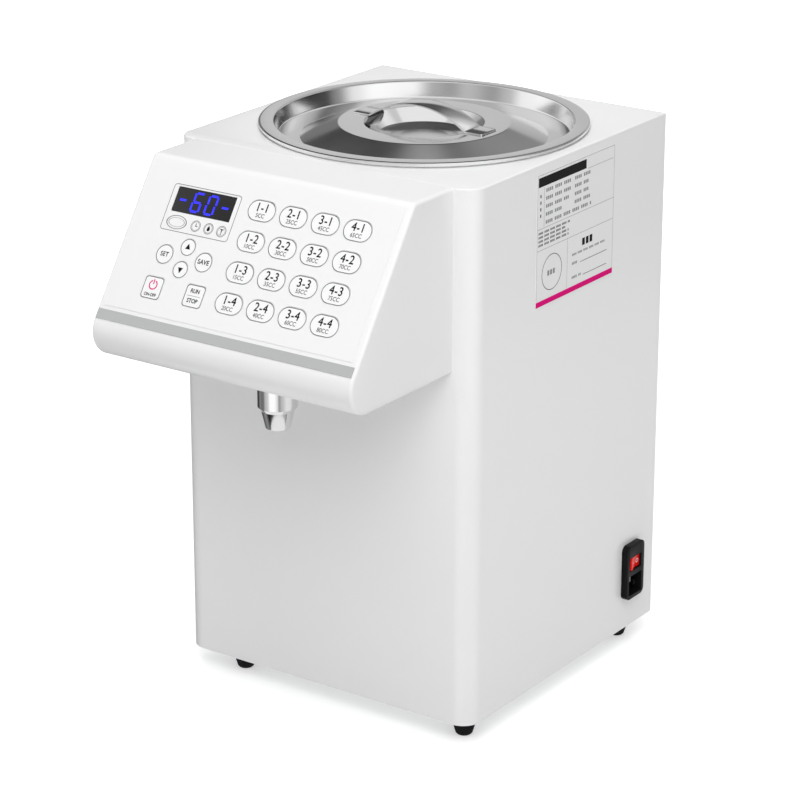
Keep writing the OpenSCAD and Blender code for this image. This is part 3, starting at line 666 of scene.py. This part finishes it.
def text_mesh(words, height, place, ink, weight=0.0, spacing=1.0):
    """Printed words as a flat mesh; weight thickens the strokes by copies set a little apart."""
    clear_selection()
    bpy.ops.object.text_add()
    text = bpy.context.object
    text.data.body = words
    text.data.size = height * MM * SIZE_BY_LETTER_HEIGHT
    text.data.align_x = "CENTER"
    text.data.align_y = "CENTER"
    text.data.resolution_u = 4
    text.data.space_character = spacing
    bpy.ops.object.convert(target="MESH")
    settle(text, place @ Matrix.Diagonal((LETTER_STRETCH, 1, 1, 1)))
    give(text, ink)
    strokes = [text]
    ways = ((1, 0), (-1, 0), (0, 1), (0, -1)) if weight else ()
    for across, up in ways:
        shift = place.to_3x3() @ Vector((across * weight * MM, up * weight * MM, 0))
        strokes.append(copy_of(text, "stroke", Matrix.Translation(shift)))
    return join("words", strokes)


def ring_mesh(outer, width, place, ink, sides=48, stretch=1.0):
    """A printed ring, or an oval where it is stretched."""
    ring = primitive("ring", bpy.ops.mesh.primitive_circle_add, vertices=sides, radius=outer * MM)
    edit(ring)
    draw_out()
    inner = (outer - width) / outer
    bpy.ops.transform.resize(value=(inner, inner, 1))
    clear_selection()
    settle(ring, place @ Matrix.Diagonal((stretch, 1, 1, 1)))
    return give(ring, ink)


def bar_mesh(width, height, place, ink):
    return give(flat_sheet("bar", place, width * MM, height * MM), ink)


def frame_mesh(width, height, radius, line, place, ink):
    """A printed rectangle with round corners, as an outline."""
    plate = rounded_plate("frame", width * MM, height * MM, radius * MM, 0, 1 * MM, segments=5)
    edit(plate)
    pick(plate, "FACE", lambda f: f.normal.z < 0.9)
    bpy.ops.mesh.delete(type="FACE")
    pick(plate, "FACE", lambda f: True)
    bpy.ops.mesh.inset(thickness=line * MM)
    bpy.ops.mesh.delete(type="FACE")
    clear_selection()
    settle(plate, place @ Matrix.Translation((0, 0, -1 * MM)))
    return give(plate, ink)


def triangle_mesh(size, place, ink):
    triangle = primitive("triangle", bpy.ops.mesh.primitive_circle_add, vertices=3,
                         radius=size * MM, fill_type="NGON")
    settle(triangle, place)
    return give(triangle, ink)


def shifted(place, x, y):
    """A place moved along its own first two axes, in millimetres."""
    return place @ Matrix.Translation((x * MM, y * MM, 0))


def print_keys():
    """The numbers and signs on the keys."""
    for name, centre in KEY_PLACES.items():
        place = PANEL @ Matrix.Translation((centre.x, centre.y, KEY_TOP + INK))
        if kind_of(name) == "portion":
            column, row = (int(word) for word in name.split("_")[1:])
            amount = 20 * (column - 1) + 5 * row
            parts = [text_mesh(f"{column}-{row}", 6.7, shifted(place, 0, 2.2), dark_ink, 0.13, 1.1),
                     text_mesh(f"{amount}CC", 3.3, shifted(place, 0, -3.8), outline_ink, 0.05)]
        elif name in ("key_up", "key_down"):
            turn = Matrix.Rotation(0 if name == "key_up" else math.pi, 4, "Z")
            squash = Matrix.Diagonal((0.86, 1.0, 1, 1))
            parts = [triangle_mesh(3.0, place @ turn @ squash, dark_ink)]
        elif name in ("key_set", "key_save"):
            word = "SET" if name == "key_set" else "SAVE"
            parts = [text_mesh(word, 3.6, place, dark_ink, 0.12, 1.05)]
        elif name == "key_power":
            parts = power_sign(shifted(place, 0, 2.2))
            parts.append(text_mesh("ON-OFF", 2.4, shifted(place, 0, -5.4), dark_ink, 0.09))
        else:
            parts = [text_mesh("RUN", 3.2, shifted(place, 0, 3.7), dark_ink, 0.12),
                     bar_mesh(12.0, 0.35, place, pale_ink),
                     text_mesh("STOP", 3.2, shifted(place, 0, -3.7), dark_ink, 0.12)]
        legend = join(name + "_print", parts)
        carry(legend, name, "key_white")


def power_sign(place):
    """A ring that is open at the top, and a bar in its gap."""
    ring = ring_mesh(3.8, 0.95, place, magenta_ink)
    edit(ring)
    centre = place.translation
    across = (place.to_3x3() @ Vector((1, 0, 0))).normalized()
    up = (place.to_3x3() @ Vector((0, 1, 0))).normalized()

    def in_gap(face):
        reach = face.calc_center_median() - centre
        return reach.dot(up) > 0 and abs(reach.dot(across)) < 1.1 * MM

    pick(ring, "FACE", in_gap)
    bpy.ops.mesh.delete(type="FACE")
    clear_selection()
    bar = bar_mesh(0.95, 3.8, shifted(place, 0, 2.4), magenta_ink)
    return [ring, bar]


SIGN_PLACES = (-56.7, -44.9, -33.1)
SIGN_ROW = 48.5


def print_panel():
    """The outline round the display, the bare oval and the three signs below it."""
    def at(x, s):
        return on_panel(x, s, OVERLAY_TOP + INK)

    parts = [frame_mesh(62.0, 35.9, 2.5, 0.45, at(-56.4, 37.65), outline_ink),
             ring_mesh(5.3, 0.45, at(-74.4, SIGN_ROW), outline_ink, stretch=1.74),
             ring_mesh(3.6, 0.28, at(-74.4, SIGN_ROW), pale_ink, stretch=2.05)]
    for x in SIGN_PLACES:
        parts.append(ring_mesh(4.3, 0.45, at(x, SIGN_ROW), outline_ink))
        parts.append(ring_mesh(3.4, 0.3, at(x, SIGN_ROW), outline_ink))
    clock, drop, tap = SIGN_PLACES
    parts.append(bar_mesh(0.6, 2.4, at(clock, 47.6), dark_ink))
    parts.append(bar_mesh(1.9, 0.6, at(clock + 0.7, 48.6), dark_ink))
    parts.append(triangle_mesh(1.4, at(drop, 47.4), dark_ink))
    parts.append(ring_mesh(1.35, 1.3, at(drop, 49.0), dark_ink, sides=24))
    parts.append(bar_mesh(3.0, 0.7, at(tap, 47.0), dark_ink))
    parts.append(bar_mesh(0.9, 2.2, at(tap, 48.2), dark_ink))
    parts.append(ring_mesh(0.55, 0.52, at(tap, 50.4), dark_ink, sides=16))
    carry(join("panel_print", parts), "cabinet", "overlay_white")


WINDOW_HEIGHT = 19.1 * MM
WINDOW_MIDDLE = 31.1


def make_window():
    """The dark pane of the display, with small round corners."""
    low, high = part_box("display_window")
    pane = rounded_plate("window_pane", high.x - low.x, WINDOW_HEIGHT, 1.8 * MM, -SHEET, WINDOW_TOP,
                         segments=6)
    settle(pane, on_panel((low.x + high.x) / 2 / MM, WINDOW_MIDDLE))
    round_edges(pane, 0.12 * MM, segments=2)
    dress(pane, 40, window_black, "cabinet", "window_black", "display_window")


# The lit bars: t top, m middle, b bottom, a and c upper left and right, f and e lower left and right
SEGMENTS = {"-": "m", "6": "tamfbe", "0": "tabfce"}
DIGITS = (("-", -75.5), ("6", -62.4), ("0", -49.6), ("-", -36.8))
DIGIT_MIDDLE = 31.2
DIGIT_LEAN = 0.12


def print_digits():
    """Four places of lit bars in the display window."""
    height, width, thick = 14.2, 7.4, 1.5
    level_bar = (width - 1.6, thick)
    upright_bar = (thick, height / 2 - 1.0)
    bars = {
        "t": (0, height / 2, *level_bar), "m": (0, 0, *level_bar), "b": (0, -height / 2, *level_bar),
        "a": (-width / 2, height / 4, *upright_bar), "c": (width / 2, height / 4, *upright_bar),
        "f": (-width / 2, -height / 4, *upright_bar), "e": (width / 2, -height / 4, *upright_bar)}
    parts = []
    for digit, x in DIGITS:
        for bar in SEGMENTS[digit]:
            dx, dy, w, h = bars[bar]
            place = on_panel(x + dx + DIGIT_LEAN * dy, DIGIT_MIDDLE - dy, WINDOW_TOP + INK)
            parts.append(bar_mesh(w, h, place, lit_blue))
    carry(join("display_digits", parts), "cabinet", "display_blue")


# ---------------------------------------------------------------- lid, strap, nozzle and feet

def softened(corners, steps=5):
    """Stations of radius and height, with an arc of the given radius at each corner."""
    stations = []
    last = len(corners) - 1
    for i, (radius, height, fillet) in enumerate(corners):
        here = Vector((radius, height))
        if i in (0, last) or fillet <= 0:
            stations.append(here)
            continue
        before = (Vector(corners[i - 1][:2]) - here).normalized()
        after = (Vector(corners[i + 1][:2]) - here).normalized()
        half = before.angle(after) / 2
        centre = here + (before + after).normalized() * fillet / math.sin(half)
        first = here + before * fillet / math.tan(half) - centre
        final = here + after * fillet / math.tan(half) - centre
        turn = first.angle_signed(final)
        for step in range(steps + 1):
            stations.append(centre + Matrix.Rotation(-turn * step / steps, 2) @ first)
    return [(point.x * MM, point.y * MM) for point in stations]


# Heights on the lid, in millimetres
LID_TOP = 438.5
STRAP_TOP = 453.78
RIM_TOP = 440.9
RIM_FOOT = 438.85
BOWL_FLOOR = 427.4
TROUGH_FLOOR = 428.3
BOWL_FLAT = 8


def make_lid():
    """The pressed lid: a dished bowl, a raised plateau, a cone, a trough, a wall and a flat rim."""
    corners = [(BOWL_FLAT, BOWL_FLOOR, 0), (19, BOWL_FLOOR + 0.2, 40), (26.5, BOWL_FLOOR + 0.7, 16),
               (31, BOWL_FLOOR + 1.4, 8), (34.4, BOWL_FLOOR + 2.3, 3), (46.5, LID_TOP, 0.9),
               (66.1, LID_TOP, 5), (95, TROUGH_FLOOR, 1.6), (112.9, TROUGH_FLOOR, 1.3),
               (115.1, RIM_TOP, 0.9), (125.1, RIM_TOP, 1.5), (126.5, RIM_TOP - 0.35, 0.2),
               (126.7, RIM_TOP - 0.7, 0.2), (126.7, RIM_FOOT, 0)]
    lid = turned("lid_pressing", softened(corners), TANK_AXIS, sides=144)
    close_ring(lid, BOWL_FLAT * MM, BOWL_FLOOR * MM, TANK_AXIS)
    face_outwards(lid)
    modify(lid, "SOLIDIFY", thickness=0.9 * MM, offset=-1.0)
    dress(lid, 40, polished_steel, "lid", "stainless", "lid_pan")


def make_strap():
    """The strap handle: a flat tab, an arc spun over the bowl and a second tab."""
    half, end, width, thick = 44.0, 59.5, 21.0, 1.2
    low = LID_TOP + thick / 2
    rise = STRAP_TOP - thick / 2 - low
    arc = (half ** 2 + rise ** 2) / (2 * rise)
    spread = 2 * math.asin(half / arc)
    tab_middle = Matrix.Translation((-(half + end) / 2 * MM, TANK_AXIS.y, low * MM))
    strap = flat_sheet("strap", tab_middle, (end - half) * MM, width * MM)
    edit(strap)
    pick(strap, "EDGE", lambda e: near(middle(e).x, -half * MM))
    bpy.ops.mesh.spin(steps=32, angle=spread, axis=(0, -1, 0),
                      center=(0, TANK_AXIS.y, (STRAP_TOP - thick / 2 - arc) * MM))
    pick(strap, "EDGE", lambda e: near(middle(e).x, half * MM) and along(e, 1))
    draw_out(x=(end - half) * MM)
    pick(strap, "EDGE", lambda e: near(abs(middle(e).x), half * MM) and along(e, 1))
    bevel_picked(0.7 * MM, 2)
    pick(strap, "VERT", lambda v: near(abs(v.co.x), end * MM))
    bpy.ops.mesh.bevel(offset=1.7 * MM, segments=4, affect="VERTICES")
    face_outwards(strap)
    modify(strap, "SOLIDIFY", thickness=thick * MM, offset=0.0)
    round_edges(strap, 0.2 * MM, segments=2, angle=50)
    dress(strap, 40, strap_steel, "lid", "stainless", "lid_handle")


def make_nozzle():
    """The turned outlet: its bore, the tapered tip, a chamfer, the barrel and the stem above."""
    tip, barrel_top = 247.5, 297.0
    corners = [(2.75, 325, 0), (2.75, tip, 0.4), (9.5, tip, 0.5), (12.7, tip + 14, 0.3),
               (15.15, tip + 17, 0.4), (15.15, barrel_top, 0), (8, barrel_top, 0), (8, 315, 0.5),
               (5.5, 315, 0.5), (5.5, 325, 0.5), (2.75, 325, 0)]
    nozzle = turned("nozzle_turning", softened(corners, steps=3), NOZZLE_AXIS, sides=64)
    face_outwards(nozzle)
    dress(nozzle, 35, nozzle_steel, "cabinet", "stainless", "nozzle")


def make_feet():
    """Four tapered rubber feet with a recess for the screw."""
    low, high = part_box("rubber_feet")
    top = wrap_low.z / MM
    corners = [(2.5, top, 0), (11, top, 0.6), (6.6, 1.2, 0.8), (5.4, 0, 0.3), (4.2, 0, 0.3),
               (4.2, 5, 0.3), (2.5, 5, 0), (2.5, top, 0)]
    blank = turned("foot_blank", softened(corners, steps=4), (0, 0), sides=40)
    face_outwards(blank)
    smooth(blank, 40)
    give(blank, rubber_black)
    reach = 11 * MM
    places = [(x, y) for x in (low.x + reach, high.x - reach) for y in (low.y + reach, high.y - reach)]
    for count, (x, y) in enumerate(places, start=1):
        foot = copy_of(blank, f"foot_{count}", Matrix.Translation((x, y, 0)))
        carry(foot, "cabinet", "rubber_black", "rubber_feet")
    bpy.data.objects.remove(blank)


# ---------------------------------------------------------------- mains inlet and label

def softened_copy(name, node, width):
    """A node's own shape as a new piece, with its edges rounded."""
    piece = bpy.data.objects.new(name, nodes[node].data.copy())
    piece.data.name = name
    scene.collection.objects.link(piece)
    edit(piece)
    bpy.ops.mesh.remove_doubles(threshold=2e-6)
    bpy.ops.mesh.dissolve_limited(angle_limit=math.radians(1.0))
    clear_selection()
    round_edges(piece, width, segments=2, angle=40)
    return piece


def make_inlet():
    housing = softened_copy("inlet_housing", "inlet_module", 0.45 * MM)
    dress(housing, 35, black_plastic, "cabinet", "black_plastic", "inlet_module")
    rocker = softened_copy("rocker_cap", "power_rocker", 0.3 * MM)
    dress(rocker, 35, red_plastic, "rocker", "red_plastic", "power_rocker")


# Turns a level face to the right side: its first axis to the rear, its second upwards
SIDEWAYS = Matrix(((0, 0, 1, 0), (1, 0, 0, 0), (0, 1, 0, 0), (0, 0, 0, 1)))
# How far the rocker leans from level while it is off
ROCKER_REST = math.radians(8)


def on_side(y, z, lift):
    """A place on the right side of the cabinet."""
    return Matrix.Translation((wrap_high.x + lift, y, z)) @ SIDEWAYS


def print_rocker():
    """A ring for off on the rear half of the rocker and a bar for on at its front half."""
    face, half, sink, lift = 6.4 * MM, 7.4 * MM, 1.2 * MM, 0.03 * MM
    lean = math.atan2(sink, half)
    rest = Matrix.Translation(frame_joint("rocker_tilt")) @ Matrix.Rotation(ROCKER_REST, 4, "Z")
    marks = []
    for side in (-1, 1):
        centre = rest @ Matrix.Translation((face - sink / 2, side * half / 2, 0))
        turn = Matrix.Rotation(-side * lean, 4, "Z") @ SIDEWAYS
        place = centre @ turn @ Matrix.Translation((0, 0, lift))
        if side > 0:
            marks.append(ring_mesh(1.75, 0.55, place, white_ink, sides=32))
        else:
            marks.append(bar_mesh(2.4, 0.6, place, white_ink))
    carry(join("rocker_print", marks), "rocker", "red_plastic")


def frame_joint(name):
    """Where a joint's axis passes, in metres."""
    return Vector(next(joint["pos_m"] for joint in frame["joints"] if joint["name"] == name))


def print_label():
    """Ruled boxes, plain dashes in rows, a circle and a coloured bar on the side label."""
    low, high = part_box("rating_label")
    lift = high.x - wrap_high.x + INK
    wide, tall = (high.y - low.y) / MM, (high.z - low.z) / MM
    parts = []

    def bar(y0, y1, z0, z1, ink=pale_ink):
        place = on_side(low.y + (y0 + y1) / 2 * MM, low.z + (z0 + z1) / 2 * MM, lift)
        parts.append(bar_mesh(y1 - y0, z1 - z0, place, ink))

    def words(y0, y1, z, tall, ink=pale_ink):
        """A row of small blocks, as plain as writing too small to read."""
        step = 0.95 * tall
        count = int((y1 - y0) / step)
        for i in range(count):
            if i % 5 != 4:
                bar(y0 + i * step, y0 + (i + 0.72) * step, z, z + tall, ink)

    line = 0.3
    for y in (0.4, wide - 0.7):
        bar(y, y + line, 4.4, tall - 0.4)
    for z in (tall - 0.7, 60.0, 43.5):
        bar(0.4, wide - 0.4, z, z + line)
    bar(70.0, wide - 2.5, 91.5, 91.5 + line)
    bar(9.5, 9.5 + line, 60.0, 91.0)
    bar(43.0, 43.0 + line, 4.4, 43.5)
    bar(0.0, wide, 0.0, 4.2, magenta_ink)
    bar(1.6, 68.0, 92.2, 99.4, dark_ink)
    for row in range(5):
        z = 87.0 - 6.1 * row
        words(12.0, 12.0 + (36, 38, 34, 24, 66)[row], z, 2.6)
        if row < 4:
            words(52.0, 52.0 + (24, 22, 20, 24)[row], z, 2.6)
            words(4.0, 7.0, 84.0 - 5.0 * row, 2.4, outline_ink)
    for row in range(4):
        words(2.5, 2.5 + (44, 38, 42, 42)[row], 56.0 - 3.1 * row, 1.7, outline_ink)
    words(64.0, 84.0, 33.0, 5.6, dark_ink)
    words(50.0, 98.0, 28.0, 1.7)
    for z, start in ((20.5, 62.0), (9.5, 66.0)):
        bar(start, 100.0, z, z + 0.5, outline_ink)
        words(50.0, start - 2.0, z + 0.5, 2.0)
    circle = on_side(low.y + 21.7 * MM, low.z + 23.5 * MM, lift)
    parts.append(ring_mesh(14.0, 0.6, circle, outline_ink, sides=64))
    words(15.5, 28.0, 21.5, 4.0)
    carry(join("label_print", parts), "cabinet", "label_white")


# ---------------------------------------------------------------- finishes of the other nodes

FINISHES = {
    white_paint: ["back_panel"],
    galvanised: ["base_pan", "motor_bracket"],
    screw_steel: ["foot_screws", "back_screws", "nozzle_nut", "head_screws", "board_posts"],
    pin_metal: ["inlet_pins"],
    polished_steel: ["tank"],
    silicone_white: ["tank_gasket"],
    silicone_clear: ["suction_hose", "delivery_hose"],
    brass: ["tank_outlet", "outlet_nut"],
    pump_plastic: ["pump_body"],
    pump_cover_steel: ["pump_cover"],
    gear_steel: ["drive_gear", "idler_gear"],
    motor_paint: ["pump_motor"],
    overlay_white: ["keypad_overlay"],
    display_blue: ["display_module"],
    circuit_green: ["switch_board", "power_board"],
    strip_silver: ["trim_strip"],
    cable_black: ["wiring_loom"],
    label_white: ["rating_label"],
}


def finish_nodes():
    for material, names in FINISHES.items():
        for name in names:
            give(nodes[name], material)


# ---------------------------------------------------------------- studio

WHITE = (1, 1, 1, 1)
FLOOR_SIZE = 30.0
FLOOR_TONE = 0.80
# The floor's own light near the object, and the radii between which it rises to full
FLOOR_LIFT_NEAR = 0.45
FLOOR_RISE = (0.45, 1.6)
WORLD_LIGHT = 0.44
LAMP_SIZE = 2.0
LAMPS = {  # where each lamp stands, what it points at and its watts
    "key_lamp": ((1.45, -1.75, 2.5), (0, 0, 0.22), 48.0),
    "top_lamp": ((0.0, -0.3, 3.2), (0, 0, 0.4), 29.0),
    "back_lamp": ((-1.6, 2.7, 1.7), (0, 0, 0.22), 18.0)}
SURROUND_RADIUS = 4.5
SURROUND_HEIGHT = 9.0
SURROUND_DEPTH = 5.0
# Levels of the screens, from the left side (0) past the front (0.25), the right side and the back
SCREENS_DEEP = ((0.0, 0.2), (0.06, 0.3), (0.1, 0.15), (0.13, 0.02), (0.225, 0.03), (0.28, 0.3),
                (0.33, 0.5), (0.4, 0.65), (0.5, 0.5), (0.58, 0.3), (0.8, 0.3), (1.0, 0.2))
SCREENS_BELOW = ((0.0, 0.08), (0.03, 0.3), (0.06, 0.2), (0.11, 0.2), (0.15, 0.6), (0.19, 0.75),
                 (0.235, 1.3), (0.3, 1.3), (0.34, 1.0), (0.375, 0.4), (0.42, 0.65), (0.5, 0.95),
                 (0.57, 0.9), (0.69, 0.95), (0.75, 0.3), (0.83, 0.25), (0.9, 0.05), (1.0, 0.06))
SCREENS_LOW = ((0.0, 1.0), (0.055, 1.2), (0.11, 1.1), (0.15, 0.6), (0.19, 0.4), (0.25, 0.6), (0.29, 0.4),
               (0.325, 0.5), (0.375, 1.2), (0.46, 1.25), (0.505, 1.0), (0.55, 0.3), (0.58, 0.06),
               (0.63, 0.03), (0.685, 0.06), (0.71, 0.6), (0.735, 0.9), (0.785, 0.4), (0.825, 0.6),
               (0.855, 0.66), (0.872, 0.2), (0.915, 0.25), (0.955, 0.75), (1.0, 1.0))
SCREENS_HIGH = ((0.0, 1.0), (0.11, 0.95), (0.16, 0.65), (0.25, 0.65), (0.305, 0.75), (0.39, 1.1),
                (0.45, 1.15), (0.5, 0.9), (0.55, 0.4), (0.615, 0.2), (0.665, 0.65), (0.70, 0.85),
                (0.735, 1.0), (0.755, 0.7), (0.79, 0.3), (0.828, 0.1), (0.892, 0.06), (0.92, 0.5),
                (0.955, 0.85), (1.0, 1.0))
SCREENS_TOP = ((0.0, 0.7), (1.0, 0.7))
# Each ring of screens above the deepest one, with the heights between which it takes over
SCREEN_RINGS = ((SCREENS_BELOW, -2.9, -2.4), (SCREENS_LOW, -0.75, -0.45), (SCREENS_HIGH, 1.95, 2.2),
                (SCREENS_TOP, 5.8, 7.1))


def seen_directly(tree):
    """1 where a ray comes from the camera, or from a mirror or glass, and 0 where it lights things."""
    path = add_node(tree, "LightPath").outputs
    either = maths(tree, "MAXIMUM", path["Is Camera Ray"], path["Is Glossy Ray"])
    return maths(tree, "MAXIMUM", either, path["Is Transmission Ray"])


def smooth_range(tree, value, start, end, low=0.0, high=1.0):
    """A value that passes smoothly from a low to a high level between a start and an end."""
    level = add_node(tree, "MapRange", Value=value, From_Min=start, From_Max=end, To_Min=low, To_Max=high)
    level.interpolation_type = "SMOOTHSTEP"
    return level.outputs["Result"]


def make_floor():
    """A pale floor: it looks white, and greyer only where the object shades it."""
    floor = primitive("floor", bpy.ops.mesh.primitive_plane_add, size=FLOOR_SIZE)
    material, tree, shader = new_material("floor_white")
    where = place_group(tree, ROUND_PLACE)
    level = smooth_range(tree, where["Radius"], *FLOOR_RISE, FLOOR_LIFT_NEAR, 1.0)
    fill(tree, shader, Base_Color=(FLOOR_TONE, FLOOR_TONE, FLOOR_TONE, 1), Roughness=1.0,
         Specular_IOR_Level=0.0, Emission_Color=WHITE,
         Emission_Strength=maths(tree, "MULTIPLY", level, seen_directly(tree)))
    give(floor, material)
    floor.visible_glossy = False


def make_world():
    """A white room: plain light on the object, and plain white behind it."""
    world = bpy.data.worlds.new("studio")
    scene.world = world
    world.use_nodes = True
    tree = world.node_tree
    level = add_node(tree, "MapRange", Value=seen_directly(tree), To_Min=WORLD_LIGHT, To_Max=1.0)
    fill(tree, tree.nodes["Background"], Color=WHITE, Strength=level.outputs["Result"])


def make_surround():
    """Paper screens round the set in greys, which only polished metal and gloss show."""
    wall = primitive("surround", bpy.ops.mesh.primitive_cylinder_add, vertices=64,
                     radius=SURROUND_RADIUS, depth=SURROUND_HEIGHT + SURROUND_DEPTH,
                     end_fill_type="NOTHING",
                     location=(0, 0, (SURROUND_HEIGHT - SURROUND_DEPTH) / 2))
    smooth(wall, 35)
    material, tree, shader = new_material("surround_greys")
    where = place_group(tree, ROUND_PLACE)
    height = add_node(tree, "SeparateXYZ", Vector=where["Place"]).outputs["Z"]
    share = add_node(tree, "MapRange", Value=where["Angle"], From_Min=-math.pi, From_Max=math.pi)
    around = share.outputs["Result"]
    level = grey_ramp(tree, around, SCREENS_DEEP)
    for stops, start, end in SCREEN_RINGS:
        level = blend(tree, smooth_range(tree, height, start, end), level, grey_ramp(tree, around, stops))
    fill(tree, shader, Base_Color=(0, 0, 0, 1), Specular_IOR_Level=0.0, Emission_Color=WHITE,
         Emission_Strength=level)
    give(wall, material)
    wall.visible_camera = False
    wall.visible_diffuse = False
    wall.visible_shadow = False
    wall.visible_transmission = False


def blend(tree, share, low, high):
    """One level passing into another."""
    mix = add_node(tree, "Mix")
    mix.data_type = "FLOAT"
    link(tree, share, mix.inputs[0])
    link(tree, low, mix.inputs[2])
    link(tree, high, mix.inputs[3])
    return mix.outputs[0]


def grey_ramp(tree, share, stops):
    """A smooth run of greys, as pairs of position and level."""
    ramp = add_node(tree, "ValToRGB", Fac=share)
    ramp.color_ramp.interpolation = "EASE"
    marks = ramp.color_ramp.elements
    while len(marks) < len(stops):
        marks.new(0.5)
    for mark, (position, level) in zip(marks, stops):
        mark.position = position
        mark.color = (level, level, level, 1)
    return ramp.outputs["Color"]


def make_lamps():
    for name, (place, target, watts) in LAMPS.items():
        data = bpy.data.lights.new(name, "AREA")
        data.shape = "RECTANGLE"
        data.size, data.size_y = LAMP_SIZE, LAMP_SIZE
        data.energy = watts
        lamp = bpy.data.objects.new(name, data)
        lamp.location = place
        lamp.rotation_euler = (Vector(target) - Vector(place)).to_track_quat("-Z", "Y").to_euler()
        lamp.visible_glossy = False
        scene.collection.objects.link(lamp)


CAMERA_AZIMUTH = math.radians(34.90)
CAMERA_ELEVATION = math.radians(20.11)
CAMERA_ROLL = math.radians(0.067)
CAMERA_DISTANCE = 2.4713
CAMERA_TARGET = Vector((-0.0570, 0.1122, 0.1850))
CAMERA_LENS = 136.40


def make_camera():
    data = bpy.data.cameras.new("camera")
    data.sensor_width = 36.0
    data.lens = CAMERA_LENS
    data.clip_start = 0.05
    data.clip_end = 50.0
    camera = bpy.data.objects.new("camera", data)
    back = Vector((math.sin(CAMERA_AZIMUTH) * math.cos(CAMERA_ELEVATION),
                   -math.cos(CAMERA_AZIMUTH) * math.cos(CAMERA_ELEVATION), math.sin(CAMERA_ELEVATION)))
    camera.location = CAMERA_TARGET + back * CAMERA_DISTANCE
    aim = (-back).to_track_quat("-Z", "Y") @ Quaternion((0, 0, 1), CAMERA_ROLL)
    camera.rotation_mode = "QUATERNION"
    camera.rotation_quaternion = aim
    scene.collection.objects.link(camera)
    scene.camera = camera


KEY_PLACES = key_places()

make_cabinet_skin()
make_head_skin()
make_keys()
print_keys()
print_panel()
make_window()
print_digits()
make_lid()
make_strap()
make_nozzle()
make_feet()
make_inlet()
print_rocker()
print_label()
finish_nodes()
make_floor()
make_world()
make_surround()
make_lamps()
make_camera()
scene.view_settings.view_transform = "Standard"
